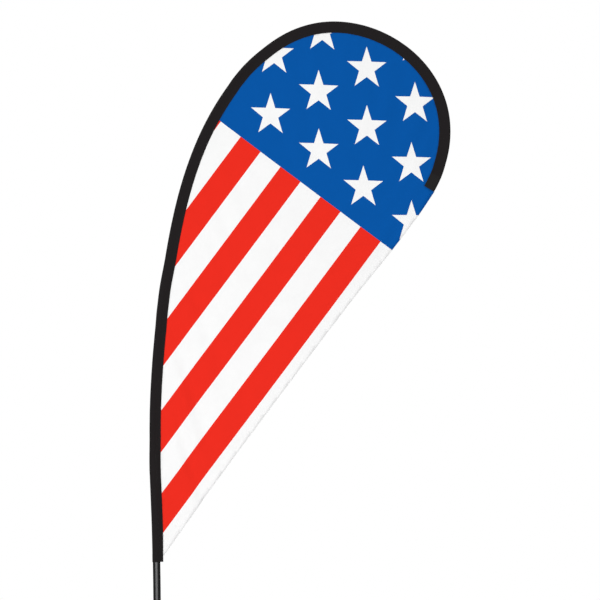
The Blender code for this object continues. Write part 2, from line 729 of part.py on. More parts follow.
def cloth_tube(name, outer_lengths, pocket_lengths, closed_end, finish):
    """Cloth wrapped round the pole: an outer skin, an inner skin and the ends."""
    rings = [outer_ring(s) for s in outer_lengths] + [pocket_ring(s) for s in pocket_lengths]
    size = len(rings[0])
    verts = [point for one in rings for point in one]
    faces = []
    for i in range(len(outer_lengths) - 1):
        bridge(faces, i * size, (i + 1) * size, size, True)
    first_pocket = len(outer_lengths)
    for i in range(first_pocket, len(rings) - 1):
        bridge(faces, i * size, (i + 1) * size, size, False)
    bridge(faces, 0, first_pocket * size, size, False)
    last_outer = (first_pocket - 1) * size
    last_pocket = (len(rings) - 1) * size
    if closed_end:
        faces.append(tuple(reversed(range(last_outer, last_outer + size))))
        faces.append(tuple(range(last_pocket, last_pocket + size)))
    else:
        bridge(faces, last_outer, last_pocket, size, True)
    mesh = bpy.data.meshes.new(name)
    mesh.from_pydata(verts, [], faces)
    return add_object(name, mesh, finish)


def trailing_line(inset):
    """The free edge from the foot to the top, or a line this far inside it."""
    run_x = TRAILING_TOP[0] - TRAILING_FOOT[0]
    run_z = TRAILING_TOP[1] - TRAILING_FOOT[1]
    size = math.hypot(run_x, run_z)
    in_x = -run_z / size
    in_z = run_x / size
    points = []
    for i in range(TRAILING_POINTS + 1):
        t = i / TRAILING_POINTS
        depth = inset + eased(TRAILING_HOLLOW, t * (len(TRAILING_HOLLOW) - 1))
        points.append((TRAILING_FOOT[0] + run_x * t + in_x * depth,
                       TRAILING_FOOT[1] + run_z * t + in_z * depth))
    return points


def sleeve_side(gap):
    """The line the cloth meets along the sleeve, from the foot to the cut end."""
    lengths = lengths_between(SLEEVE_BOTTOM, SLEEVE_END)
    return [beside_axis(s, -inner_edge(s) - gap) for s in lengths]


def crossing(line, other):
    """Where two point lists cross: index in the first, index in the second, point."""
    for i in range(len(line) - 1):
        ax, az = line[i]
        bx = line[i + 1][0] - ax
        bz = line[i + 1][1] - az
        for j in range(len(other) - 1):
            cx, cz = other[j]
            dx = other[j + 1][0] - cx
            dz = other[j + 1][1] - cz
            area = bx * dz - bz * dx
            if abs(area) < 1e-12:
                continue
            t = ((cx - ax) * dz - (cz - az) * dx) / area
            u = ((cx - ax) * bz - (cz - az) * bx) / area
            if 0.0 <= t <= 1.0 and 0.0 <= u <= 1.0:
                return i, j, (ax + bx * t, az + bz * t)
    return None


def cut_end(outward, beyond):
    """A point on the line just past the sleeve's square end."""
    x, z = beside_axis(SLEEVE_END, outward)
    along = axis_direction(SLEEVE_END)
    return x + along[0] * beyond, z + along[1] * beyond


def stretched(line, amount):
    """The same line with its first and last runs made longer."""
    first, second = line[0], line[1]
    size = math.hypot(second[0] - first[0], second[1] - first[1])
    start = (first[0] + (first[0] - second[0]) / size * amount,
             first[1] + (first[1] - second[1]) / size * amount)
    last, before = line[-1], line[-2]
    size = math.hypot(last[0] - before[0], last[1] - before[1])
    end = (last[0] + (last[0] - before[0]) / size * amount,
           last[1] + (last[1] - before[1]) / size * amount)
    return [start] + list(line) + [end]


def trimmed(line, side, end_line):
    """The part of a line from the sleeve's side to its cut end, and the side's next point."""
    low = crossing(line, side)
    high = crossing(line, end_line)
    return [low[2]] + line[low[0] + 1:high[0] + 1] + [high[2]], low[1] + 1


def upright_plate(name, outline, half_thickness, finish):
    piece = plate(name, (outline,), half_thickness, finish)
    piece.rotation_euler = (math.radians(90.0), 0.0, 0.0)
    return piece


def flag_cloth():
    side = sleeve_side(GAP)
    inner_corner = cut_end(-inner_edge(SLEEVE_END) - GAP, GAP)
    end_line = [inner_corner, cut_end(OVERRUN, GAP)]
    free_edge, _ = trimmed(stretched(trailing_line(0.0), OVERRUN), side, end_line)
    fold, _ = trimmed(stretched(trailing_line(HEM_WIDTH), OVERRUN), side, end_line)
    upright_plate("trailing_hem", free_edge + list(reversed(fold)), HEM_HALF, "white_cloth")
    panel_line = stretched(trailing_line(HEM_WIDTH + GAP), OVERRUN)
    panel_edge, start = trimmed(panel_line, side, end_line)
    outline = side[start:] + [inner_corner] + list(reversed(panel_edge))
    upright_plate("flag_panel", outline, PANEL_HALF, "blue_cloth")


def sleeve():
    band = lengths_between(SLEEVE_BOTTOM, HEM_BAND_TOP)
    cloth_tube("sleeve_hem", band, band, False, "black_cloth")
    body = lengths_between(HEM_BAND_TOP + GAP, POCKET_START)
    cloth_tube("pole_sleeve", body, body, False, "black_cloth")
    pocket = lengths_between(POCKET_START + GAP, SLEEVE_END)
    inside = lengths_between(POCKET_START + GAP, POCKET_FLOOR)
    cloth_tube("tip_pocket", pocket, inside, True, "black_cloth")


# --- tension tab -------------------------------------------------------------
def tension_tab():
    low = TAB_BOTTOM + TAB_HALF_WIDTH
    strip = [(TAB_CENTRE - TAB_HALF_WIDTH, TAB_TOP), (TAB_CENTRE - TAB_HALF_WIDTH, low)]
    strip += [(TAB_CENTRE + across, low + along)
              for across, along in arc(TAB_HALF_WIDTH, 180.0, 360.0, 9)[1:-1]]
    strip += [(TAB_CENTRE + TAB_HALF_WIDTH, low), (TAB_CENTRE + TAB_HALF_WIDTH, TAB_TOP)]
    hole = [(TAB_CENTRE + across, EYELET_Z + along)
            for across, along in circle(EYELET_BARREL + GAP, 16)]
    tab = plate("tension_tab", (strip, hole), TAB_THICKNESS / 2, "black_cloth")
    tab.rotation_euler = (math.radians(90.0), 0.0, 0.0)
    middle_y = TAB_BACK + TAB_THICKNESS / 2
    tab.location = (0.0, middle_y, 0.0)
    inner_face = TAB_THICKNESS / 2 + GAP
    outer_face = inner_face + EYELET_LIP
    profile = ((EYELET_BORE, -outer_face), (EYELET_FLANGE, -outer_face),
               (EYELET_FLANGE, -inner_face), (EYELET_BARREL, -inner_face),
               (EYELET_BARREL, inner_face), (EYELET_FLANGE, inner_face),
               (EYELET_FLANGE, outer_face), (EYELET_BORE, outer_face))
    eyelet = revolve("tab_eyelet", profile, "brass", 16)
    eyelet.rotation_euler = (math.radians(90.0), 0.0, 0.0)
    eyelet.location = (TAB_CENTRE, middle_y, EYELET_Z)


def tab_hook():
    """A riveted peg through the tube's back wall, its tip turned down."""
    x = beside_axis(EYELET_Z, 0.0)[0]
    curve = bpy.data.curves.new("tab_hook_bar", "CURVE")
    curve.dimensions = "3D"
    curve.bevel_depth = HOOK_RADIUS
    curve.bevel_resolution = 4
    curve.use_fill_caps = True
    route = ((HOOK_HEAD_Y + 0.0008, 0.0), (0.0185, 0.0), (0.0205, -0.0006),
             (0.0217, -0.0020), (0.0222, -0.0042), (0.0222, -0.0100))
    spline = curve.splines.new("POLY")
    spline.points.add(len(route) - 1)
    for i, (out, up) in enumerate(route):
        spline.points[i].co = (x, out, EYELET_Z + up, 1.0)
    bar = add_object("tab_hook_bar", curve, "zinc_steel")
    bpy.context.view_layer.update()
    view = bpy.context.evaluated_depsgraph_get()
    mesh = bpy.data.meshes.new_from_object(bar.evaluated_get(view))
    bpy.data.objects.remove(bar, do_unlink=True)
    hook = add_object("tab_hook", mesh, "zinc_steel")
    head = cylinder_cutter("tab_hook_head", HOOK_HEAD_RADIUS, HOOK_HEAD_THICKNESS,
                           (0.0, 0.0, 0.0), 16)
    head.rotation_euler = (math.radians(90.0), 0.0, 0.0)
    head.location = (x, HOOK_HEAD_Y + HOOK_HEAD_THICKNESS / 2, EYELET_Z)
    combine(hook, head, "UNION")


cross_base()
bearing_unit()
spindle()
pole_sections()
sleeve()
flag_cloth()
tension_tab()
tab_hook()
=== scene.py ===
"""Looks of the teardrop flag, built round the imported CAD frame.

Metres, +Z up.  The pole stands at x = 0, y = 0 and bends over towards +X; the
flag hangs in the plane y = 0 and its front faces -Y.  A length is measured along
the pole from the floor; outward is square to the pole, away from the flag.
"""
import math

import bpy
import numpy as np
from mathutils import Matrix, Vector, noise
from mathutils.bvhtree import BVHTree
from mathutils.geometry import delaunay_2d_cdt
from mathutils.kdtree import KDTree


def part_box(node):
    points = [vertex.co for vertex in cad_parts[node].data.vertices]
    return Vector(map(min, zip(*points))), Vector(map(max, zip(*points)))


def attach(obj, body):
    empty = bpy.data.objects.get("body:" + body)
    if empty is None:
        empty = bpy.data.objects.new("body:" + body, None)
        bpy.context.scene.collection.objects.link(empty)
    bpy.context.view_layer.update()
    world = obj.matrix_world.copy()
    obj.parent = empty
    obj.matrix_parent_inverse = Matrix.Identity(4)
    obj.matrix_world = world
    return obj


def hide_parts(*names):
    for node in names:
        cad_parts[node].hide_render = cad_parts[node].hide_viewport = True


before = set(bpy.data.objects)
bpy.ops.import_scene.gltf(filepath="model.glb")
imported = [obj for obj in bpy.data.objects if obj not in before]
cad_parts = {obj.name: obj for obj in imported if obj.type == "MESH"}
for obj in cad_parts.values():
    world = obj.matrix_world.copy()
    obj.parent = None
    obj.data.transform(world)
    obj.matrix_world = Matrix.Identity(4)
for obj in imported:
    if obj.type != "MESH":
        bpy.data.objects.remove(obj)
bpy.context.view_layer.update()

# --- line of the pole (the same table as the CAD's) ---
HEADING_STEP = 0.3
HEADINGS = (0.0, 0.0, -1.0, -2.2, 3.3, 7.4, 13.9, 28.1, 50.7, 97.4, 140.5, 190.2, 231.4)
LINE_STEP = 0.0025
STRAIGHT_END = 0.30
LINE_END = 3.46

# --- pole and sleeve ---
BASE_TUBE = (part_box("pole_base_tube")[0].z, 0.860)
TUBE_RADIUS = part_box("pole_base_tube")[1].y
TUBE_WALL = 0.0014
SLEEVE_WIDTH = 0.0378
SLEEVE_WALL = 0.0006
SLEEVE_TAPER = 0.0016             # narrower at its foot than above TAPER_TOP
TAPER_TOP = 0.72
SLEEVE_BOTTOM = 0.600
HEM_BAND_TOP = 0.625
POCKET_START = 3.390
SLEEVE_END = 3.4430
POCKET_FLOOR = 3.4387
SLEEVE_ROOM = ((0.60, 0.0130), (0.90, 0.0130), (1.02, 0.0102), (1.38, 0.0102),
               (1.44, 0.0113), (1.50, 0.0113), (1.62, 0.0076), (2.22, 0.0076),
               (2.26, 0.0088), (2.30, 0.0088), (2.42, 0.0051), (3.34, 0.0042),
               (3.38, 0.0056), (3.46, 0.0056))
SEAM_FLAT = 0.007
SEAM_HALF = 0.0009
ARC_POINTS = 25

# --- cross base ---
ARM_WIDTH = 0.040
ARM_BEVEL = 0.0006
RUBBER_GAP = 0.0003               # between a rubber foot and the arm above it
GRIP_GROOVE = ((0.0, -0.0008), (0.0009, -0.0004), (0.0009, 0.0004), (0.0, 0.0008))
O_RING_HEIGHTS = (135, 275)       # millimetres, as hub()'s outlines

# --- printed cloth ---
TRAILING_TOP = (0.9232, 1.8337)
TRAILING_FOOT = (0.0225, 0.6220)
TRAILING_HOLLOW = (0.0, 0.0027, 0.0046, 0.0059, 0.0070, 0.0079, 0.0085, 0.0089, 0.0089,
                   0.0087, 0.0081, 0.0070, 0.0046, 0.0002, -0.0022, -0.0040, 0.0)
CLOTH_FOOT = 0.6225               # length along the pole where the cloth starts
TUCKED_IN = 0.0035                # how far the cloth runs into the sleeve's seam
CLOTH_SPACING = 0.0095
CLOTH_THICKNESS = 0.00035
HEM_WIDTH = 0.012
HEM_ROWS = 400
HEM_CLEAR = 0.0004                # the hem stays this far outside the sleeve,
STITCH_CLEAR = 0.0012             # and its stitches this far
CLOTH_SLACK = 0.004
SIM_FRAMES = 45
SMOOTHING_PASSES = 6
CANTON_POINT = (0.2093, 2.0697)   # where the blue field's edge meets the sleeve
STRIPE_ACROSS = (0.8039, -0.5948) # square to the stripes, along the field's edge
STRIPE_START = 0.0031
STRIPE_WIDTH = 0.0830
STRIPE_LEAN = 0.0025              # the stripes are this far from square to the field
FIELD_LEAN = 0.0050               # the field's edge falls off this much to the right
STAR_RADIUS = 0.0727
STAR_WAIST = 0.39
STAR_NARROW = 0.945               # width of a star over that of a regular one
STAR_SKEW = 0.033
STAR_FIRST = (0.3777, 2.0910)
STAR_STEP = (0.1602, 0.0771)      # along a row of stars
STAR_DROP = (0.0004, -0.1941)     # to the star below, left part of the field
STAR_SLANT = (-0.0120, -0.2003)   # the same, right part of the field

# --- light and camera ---
VIEW_CENTRE = (0.4758, 1.4730)
VIEW_WIDTH = 2.0
CAMERA_DISTANCE = 10.0
SENSOR = 36.0
FLOOR_RADIUS = 4.4
FILL_LEVEL = 0.23                 # brightness of the surroundings that light the flag


# === line of the pole ===
def eased(values, place):
    """A smooth curve through evenly spaced values; place 1.0 is the second one."""
    last = len(values) - 1
    table = (2.0 * values[0] - values[1],) + values
    table = table + (2.0 * values[last] - values[last - 1],)
    i = min(int(place), last - 1)
    t = place - i
    a, b, c, d = table[i:i + 4]
    return 0.5 * (2.0 * b + (c - a) * t + (2.0 * a - 5.0 * b + 4.0 * c - d) * t * t
                  + (3.0 * b - a - 3.0 * c + d) * t * t * t)


def heading_at(length):
    """Direction of the pole at a length measured up from the floor."""
    if length <= STRAIGHT_END:
        return 0.0
    return math.radians(eased(HEADINGS, length / HEADING_STEP))


def make_line():
    count = int(round(LINE_END / LINE_STEP))
    middles = [heading_at((i + 0.5) * LINE_STEP) for i in range(count)]
    x = np.concatenate([[0.0], np.cumsum(np.sin(middles)) * LINE_STEP])
    z = np.concatenate([[0.0], np.cumsum(np.cos(middles)) * LINE_STEP])
    return np.arange(count + 1) * LINE_STEP, x, z


LINE_S, LINE_X, LINE_Z = make_line()


def axis_point(length):
    return tuple(float(np.interp(length, LINE_S, line)) for line in (LINE_X, LINE_Z))


def beside_axis(length, outward):
    x, z = axis_point(length)
    turn = heading_at(length)
    return x - math.cos(turn) * outward, z + math.sin(turn) * outward


def room_at(length):
    for (a, low), (b, high) in zip(SLEEVE_ROOM[:-1], SLEEVE_ROOM[1:]):
        if length <= b:
            t = (length - a) / (b - a)
            t = t * t * (3.0 - 2.0 * t)
            return low + (high - low) * t
    return SLEEVE_ROOM[-1][1]


def seam_edge(length):
    """From the pole's middle to the flag side of the sleeve."""
    drawn_in = SLEEVE_TAPER * smoothstep(TAPER_TOP, SLEEVE_BOTTOM, length)
    return SLEEVE_WIDTH - room_at(length) - SLEEVE_WALL - drawn_in


def curvature(length):
    return (heading_at(length + 0.02) - heading_at(length - 0.02)) / 0.04


def smoothstep(low, high, value):
    t = min(max((value - low) / (high - low), 0.0), 1.0)
    return t * t * (3.0 - 2.0 * t)


def wave(x, y, z=0.0):
    """Smooth noise from -1 to 1, the same every run."""
    return noise.noise(Vector((x, y, z)))


# === shader helpers ===
class Nodes:
    """Short ways to add nodes to a tree."""

    def __init__(self, tree):
        self.tree = tree

    def node(self, kind, **values):
        made = self.tree.nodes.new(kind)
        for key, value in values.items():
            setattr(made, key, value)
        return made

    def feed(self, socket, value):
        """A number, a colour or another node's output into a socket."""
        if isinstance(value, bpy.types.NodeSocket):
            self.tree.links.new(value, socket)
        elif socket.type == "RGBA":
            socket.default_value = (*value, 1.0)
        else:
            socket.default_value = value

    def math(self, operation, *values):
        made = self.node("ShaderNodeMath", operation=operation)
        for socket, value in zip(made.inputs, values):
            self.feed(socket, value)
        return made.outputs[0]

    def add(self, first, second):
        return self.math("ADD", first, second)

    def less(self, first, second):
        return self.math("SUBTRACT", first, second)

    def times(self, first, second):
        return self.math("MULTIPLY", first, second)

    def split(self, vector):
        made = self.node("ShaderNodeSeparateXYZ")
        self.feed(made.inputs[0], vector)
        return made.outputs


class Shader(Nodes):
    """A Principled material and the patterns that feed it."""

    def __init__(self, name, colour, metallic=0.0, roughness=0.5, specular=0.5):
        self.material = bpy.data.materials.new(name)
        self.material.use_nodes = True
        super().__init__(self.material.node_tree)
        self.surface = self.tree.nodes["Principled BSDF"]
        self.set("Base Color", colour)
        self.set("Metallic", metallic)
        self.set("Roughness", roughness)
        self.set("Specular IOR Level", specular)

    def set(self, socket, value):
        self.feed(self.surface.inputs[socket], value)

    def coordinates(self, kind="Object"):
        return self.node("ShaderNodeTexCoord").outputs[kind]

    def height(self):
        return self.split(self.coordinates())[2]

    def mix(self, factor, first, second):
        made = self.node("ShaderNodeMix", data_type="RGBA")
        for index, value in ((0, factor), (6, first), (7, second)):
            self.feed(made.inputs[index], value)
        return made.outputs[2]

    def noise(self, scale, detail=3.0, roughness=0.5, vector=None):
        """Noise over the object, or over another vector."""
        made = self.node("ShaderNodeTexNoise")
        for socket, value in (("Vector", vector or self.coordinates()), ("Scale", scale),
                              ("Detail", detail), ("Roughness", roughness)):
            self.feed(made.inputs[socket], value)
        return made.outputs["Fac"]

    def ramp(self, value, low, high, out_low=0.0, out_high=1.0):
        made = self.node("ShaderNodeMapRange")
        for socket, number in zip(made.inputs, (value, low, high, out_low, out_high)):
            self.feed(socket, number)
        return made.outputs[0]

    def ripple(self, value, pitch):
        """0 to 1 and back, once every pitch."""
        angle = self.times(value, 2.0 * math.pi / pitch)
        return self.math("MULTIPLY_ADD", self.math("SINE", angle), 0.5, 0.5)

    def done(self, colour, rough, height, depth, strength):
        """Joins up colour, roughness and bump; rough None keeps the plain number."""
        self.set("Base Color", colour)
        if rough is not None:
            self.set("Roughness", rough)
        made = self.node("ShaderNodeBump")
        for socket, value in zip(("Strength", "Distance", "Height"),
                                 (strength, depth, height)):
            self.feed(made.inputs[socket], value)
        self.set("Normal", made.outputs[0])
        return self.material


def scaled(colour, factor):
    return tuple(channel * factor for channel in colour)


# === materials ===
BLUE = (0.0, 0.0855, 0.359)
RED = (0.800, 0.0235, 0.0120)
WHITE = (0.895, 0.895, 0.895)
BLACK = (0.0, 0.0, 0.0)
BLACK_CLOTH = (0.0105, 0.0085, 0.0090)


def star_group():
    """1 inside a five-pointed star round the origin, 0 outside."""
    group = bpy.data.node_groups.new("star", "ShaderNodeTree")
    group.interface.new_socket("Place", in_out="INPUT", socket_type="NodeSocketVector")
    group.interface.new_socket("Inside", in_out="OUTPUT", socket_type="NodeSocketFloat")
    nodes = Nodes(group)
    across, up, _ = nodes.split(nodes.node("NodeGroupInput").outputs[0])
    x = nodes.math("DIVIDE", across, STAR_NARROW)
    y = nodes.add(up, nodes.times(across, STAR_SKEW))
    fifth = 2.0 * math.pi / 5.0
    turn = nodes.add(nodes.math("ARCTAN2", x, y), fifth / 2.0 + 2.0 * math.pi)
    from_tip = nodes.less(nodes.math("MODULO", turn, fifth), fifth / 2.0)
    folded = nodes.math("ABSOLUTE", from_tip)
    reach = nodes.math("SQRT", nodes.add(nodes.times(x, x), nodes.times(y, y)))
    along = nodes.times(reach, nodes.math("COSINE", folded))
    aside = nodes.times(reach, nodes.math("SINE", folded))
    # The edge runs from the tip (1, 0) to the waist; both are scaled by the radius.
    normal = (STAR_WAIST * math.sin(fifth / 2.0), 1.0 - STAR_WAIST * math.cos(fifth / 2.0))
    edge = nodes.add(nodes.times(along, normal[0]), nodes.times(aside, normal[1]))
    nodes.feed(nodes.node("NodeGroupOutput").inputs[0],
               nodes.math("LESS_THAN", edge, STAR_RADIUS * normal[0]))
    return group


def star_places():
    """The middle of each star; the last three are partly under the sleeve."""
    step, drop, slant = (np.array(move) for move in (STAR_STEP, STAR_DROP, STAR_SLANT))
    first = np.array(STAR_FIRST)
    second, third = first + step, first + step * 2.0
    fifth, sixth = third + drop, third + drop + step
    seventh, eighth = fifth + slant, fifth + slant + step
    return [first, second, third, second + drop, fifth, sixth, seventh, eighth,
            eighth + drop, first - slant, second - slant, sixth - (0.0, slant[1])]


def printed_cloth(name, strength):
    """Stars and stripes dyed into a fine warp-knitted polyester, with painted shade in the
    pores between its loops.
    """
    shader = Shader(name, WHITE, roughness=0.82, specular=0.06)
    add, less, times = shader.add, shader.less, shader.times
    flat = shader.coordinates("UV")
    across, up, _ = shader.split(flat)
    along, rise = less(across, CANTON_POINT[0]), less(up, CANTON_POINT[1])
    t = add(times(along, STRIPE_ACROSS[0]), times(rise, STRIPE_ACROSS[1]))
    square = add(times(along, -STRIPE_ACROSS[1]), times(rise, STRIPE_ACROSS[0]))
    above = add(square, times(t, FIELD_LEAN))
    run = less(less(t, times(above, STRIPE_LEAN)), STRIPE_START)
    band = shader.math("FLOOR", add(shader.math("DIVIDE", run, STRIPE_WIDTH), 10.0))
    red = shader.math("MODULO", band, 2.0)
    in_field = shader.math("GREATER_THAN", above, 0.0)
    group = star_group()
    star = 0.0
    for place in star_places():
        moved = shader.node("ShaderNodeVectorMath", operation="SUBTRACT")
        shader.feed(moved.inputs[0], flat)
        shader.feed(moved.inputs[1], (*place, 0.0))
        one = shader.node("ShaderNodeGroup", node_tree=group)
        shader.feed(one.inputs[0], moved.outputs[0])
        star = shader.math("MAXIMUM", star, one.outputs[0])

    def dyed(colour):
        return tuple(c * strength + w * (1.0 - strength) for c, w in zip(colour, WHITE))

    stripes = shader.mix(red, WHITE, dyed(RED))
    field = shader.mix(star, dyed(BLUE), WHITE)
    mottle = shader.noise(14.0, 4.0, 0.6, flat)
    aged = shader.mix(shader.ramp(mottle, 0.25, 0.75, 0.030, 0.0),
                      shader.mix(in_field, stripes, field), BLACK)
    loops = times(shader.ripple(across, 0.0011), shader.ripple(up, 0.0014))
    # Painted shade: the colour darkens towards black in the knit's pores, where the bump is
    # lowest.
    pore_shade = shader.ramp(loops, 0.0, 0.25, 0.05, 0.0)
    shader.set("Sheen Weight", 0.015)
    shader.set("Sheen Roughness", 0.5)
    return shader.done(shader.mix(pore_shade, aged, BLACK), None,
                       add(loops, times(mottle, 0.6)), 0.00012, 0.35)


def black_cloth(name, colour, pitch, ribbed=False):
    """Woven polyester: threads along the sleeve and across it, with painted shade between
    the threads and painted light on them, mixed with random darker and lighter patches.
    """
    shader = Shader(name, colour, roughness=0.85, specular=0.12)
    flat = shader.coordinates("UV")
    along, around, _ = shader.split(flat)
    weave = shader.times(shader.ripple(along, pitch),
                         shader.ripple(around, pitch * (3.0 if ribbed else 1.0)))
    patches = shader.noise(40.0, vector=flat)
    # Painted light and shade: darker in the gaps of the weave and lighter on its threads,
    # half of it random patches.
    weave_shade_and_patches = shader.add(shader.times(weave, 0.5), shader.times(patches, 0.5))
    shader.set("Sheen Weight", 0.03)
    shader.set("Sheen Roughness", 0.6)
    return shader.done(shader.mix(weave_shade_and_patches, scaled(colour, 0.7), scaled(colour, 1.5)),
                       shader.ramp(patches, 0.3, 0.7, 0.78, 0.92),
                       weave, 0.00025 if ribbed else 0.00012, 0.6)


def thread(name, colour):
    shader = Shader(name, colour, roughness=0.6, specular=0.25)
    twist = shader.noise(2500.0, 2.0)
    return shader.done(shader.mix(twist, scaled(colour, 0.8), scaled(colour, 1.15)), None,
                       twist, 0.00005, 0.5)


def anodised():
    """Black anodised tube: drawn lines along it and faint handling marks."""
    shader = Shader("black_anodised", (0.055, 0.055, 0.056), metallic=1.0, roughness=0.3)
    shader.set("Specular Tint", (0.10, 0.10, 0.10))
    stretch = shader.node("ShaderNodeMapping")
    shader.feed(stretch.inputs[0], shader.coordinates())
    shader.feed(stretch.inputs["Scale"], (900.0, 900.0, 14.0))
    lines = shader.noise(1.0, vector=stretch.outputs[0])
    smears = shader.noise(22.0, 5.0, 0.65)
    scratch = shader.ramp(shader.noise(0.35, 2.0, vector=stretch.outputs[0]), 0.72, 0.78)
    base = shader.mix(lines, (0.050, 0.050, 0.051), (0.068, 0.068, 0.069))
    return shader.done(shader.mix(shader.times(scratch, 0.35), base, (0.17, 0.17, 0.175)),
                       shader.add(shader.ramp(smears, 0.3, 0.7, 0.20, 0.30),
                                  shader.times(lines, 0.04)),
                       lines, 0.00003, 0.3)


def powder_coat():
    """Textured black powder coat, rubbed to a duller grey on the corners: partly real wear,
    partly a painted highlight along the edges.
    """
    shader = Shader("black_powder_coat", (0.013, 0.013, 0.014), roughness=0.5, specular=0.4)
    grain = shader.noise(900.0, 3.0, 0.6)
    patch = shader.noise(60.0, 4.0, 0.6)
    wear_and_glint_patches = shader.noise(420.0, 5.0, 0.7)
    # The corner mark lightens the coat towards grey: rubbed wear mixed with a painted
    # highlight along the edges.
    worn_and_highlit = shader.node("ShaderNodeAttribute", attribute_name="wear_and_highlight").outputs["Fac"]
    edge = shader.times(worn_and_highlit, shader.ramp(wear_and_glint_patches, 0.52, 0.70))
    base = shader.mix(grain, (0.010, 0.010, 0.011), (0.018, 0.018, 0.019))
    return shader.done(shader.mix(shader.times(edge, 0.30), base, (0.16, 0.16, 0.165)),
                       shader.less(shader.ramp(patch, 0.3, 0.7, 0.46, 0.58),
                                   shader.times(edge, 0.10)),
                       grain, 0.00018, 0.5)


def plated(name, colour, roughness):
    """Plated or ground steel with fine turning lines and slight tarnish."""
    shader = Shader(name, colour, metallic=1.0, roughness=roughness)
    tarnish = shader.noise(90.0, 5.0, 0.6)
    return shader.done(shader.mix(tarnish, scaled(colour, 0.82), scaled(colour, 1.08)),
                       shader.ramp(tarnish, 0.3, 0.7, roughness * 0.8, roughness * 1.3),
                       shader.ripple(shader.height(), 0.0005), 0.00002, 0.35)


def rubber():
    """Black rubber, dusty near the floor."""
    shader = Shader("rubber", (0.018, 0.018, 0.018), roughness=0.8, specular=0.3)
    fine = shader.noise(1400.0, 2.0)
    dust = shader.noise(120.0, 4.0, 0.65)
    low = shader.ramp(shader.height(), 0.0, 0.006, 1.0, 0.0)
    dusty = shader.times(shader.add(low, 0.25), shader.ramp(dust, 0.4, 0.75))
    return shader.done(shader.mix(shader.times(dusty, 0.45), (0.016, 0.016, 0.016),
                                  (0.11, 0.105, 0.095)),
                       shader.ramp(dust, 0.3, 0.7, 0.72, 0.9), fine, 0.0001, 0.5)


def moulded(name, colour, roughness):
    """Injection-moulded plastic with a spark-eroded grain."""
    shader = Shader(name, colour, roughness=roughness, specular=0.4)
    grain = shader.noise(1100.0, 2.0)
    scuff = shader.noise(70.0, 5.0, 0.7)
    return shader.done(shader.mix(shader.ramp(scuff, 0.5, 0.75, 0.0, 0.35), colour,
                                  scaled(colour, 2.6)),
                       shader.ramp(scuff, 0.3, 0.7, roughness * 0.85, roughness * 1.2),
                       grain, 0.00008, 0.5)


def pultruded():
    """Black fibreglass: glass strands show faintly along the tube."""
    shader = Shader("black_fibreglass", (0.012, 0.012, 0.013), roughness=0.3, specular=0.5)
    strands = shader.noise(300.0, 4.0, 0.7)
    return shader.done(shader.mix(strands, (0.008, 0.008, 0.009), (0.022, 0.022, 0.023)),
                       shader.ramp(strands, 0.3, 0.7, 0.24, 0.4), strands, 0.00006, 0.3)


def pale_floor():
    """Pale studio floor that fades out towards its rim."""
    shader = Shader("floor", (0.84, 0.84, 0.84), roughness=0.7, specular=0.1)
    cloud = shader.noise(1.5)
    shader.set("Base Color", shader.mix(cloud, (0.83, 0.83, 0.83), (0.86, 0.86, 0.86)))
    distance = shader.node("ShaderNodeVectorMath", operation="LENGTH")
    shader.feed(distance.inputs[0], shader.coordinates())
    shader.set("Alpha", shader.ramp(distance.outputs["Value"], 1.2, FLOOR_RADIUS * 0.98,
                                    1.0, 0.0))
    return shader.material


PRINT_FRONT = printed_cloth("printed_cloth", 1.0)
PRINT_BACK = printed_cloth("printed_cloth_back", 0.95)
SLEEVE_CLOTH = black_cloth("sleeve_cloth", BLACK_CLOTH, 0.0009)
WEBBING = black_cloth("webbing", (0.013, 0.012, 0.012), 0.0014, ribbed=True)
BLACK_THREAD = thread("black_thread", (0.020, 0.018, 0.019))
ANODISED = anodised()
POWDER_COAT = powder_coat()
ZINC = plated("zinc_plate", (0.58, 0.59, 0.60), 0.32)
GROUND_STEEL = plated("bearing_steel", (0.54, 0.55, 0.56), 0.18)
BRASS = plated("brass", (0.78, 0.56, 0.26), 0.24)
RUBBER = rubber()
PLASTIC = moulded("black_plastic", (0.020, 0.020, 0.021), 0.5)
FIBREGLASS = pultruded()


# === mesh helpers ===
def add_mesh(name, verts, faces, material, body, node=None, uvs=None, sharp=None):
    """One smooth-shaded piece that rides on a CAD body and stands for a node.

    uvs is one (u, v) for each vertex; sharp is the angle that keeps an edge."""
    mesh = bpy.data.meshes.new(name)
    mesh.from_pydata([tuple(v) for v in verts], [], faces)
    mesh.update()
    mesh.polygons.foreach_set("use_smooth", [True] * len(mesh.polygons))
    if uvs is not None:
        layer = mesh.uv_layers.new(name="flat")
        loops = np.zeros(len(mesh.loops), dtype=np.int32)
        mesh.loops.foreach_get("vertex_index", loops)
        layer.data.foreach_set("uv", np.asarray(uvs, dtype=np.float32)[loops].ravel())
    mesh.materials.append(material)
    piece = bpy.data.objects.new(name, mesh)
    bpy.context.scene.collection.objects.link(piece)
    if sharp is not None:
        keep_edges(piece, sharp)
    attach(piece, body)
    if node:
        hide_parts(node)
    return piece


def keep_edges(piece, sharp):
    split = piece.modifiers.new("edges", "EDGE_SPLIT")
    split.split_angle = math.radians(sharp)


def grid_faces(rows, columns, closed_columns=True, flip=False, offset=0):
    faces = []
    last = columns if closed_columns else columns - 1
    for i in range(rows - 1):
        for j in range(last):
            k = (j + 1) % columns
            face = (offset + i * columns + j, offset + i * columns + k,
                    offset + (i + 1) * columns + k, offset + (i + 1) * columns + j)
            faces.append(face[::-1] if flip else face)
    return faces


def bar_faces(rows, columns, flip=False):
    """A closed section along a line, with a face over each end."""
    first = tuple(range(columns))
    last = tuple(range((rows - 1) * columns, rows * columns))
    ends = [first, last[::-1]] if flip else [first[::-1], last]
    return grid_faces(rows, columns, flip=flip) + ends


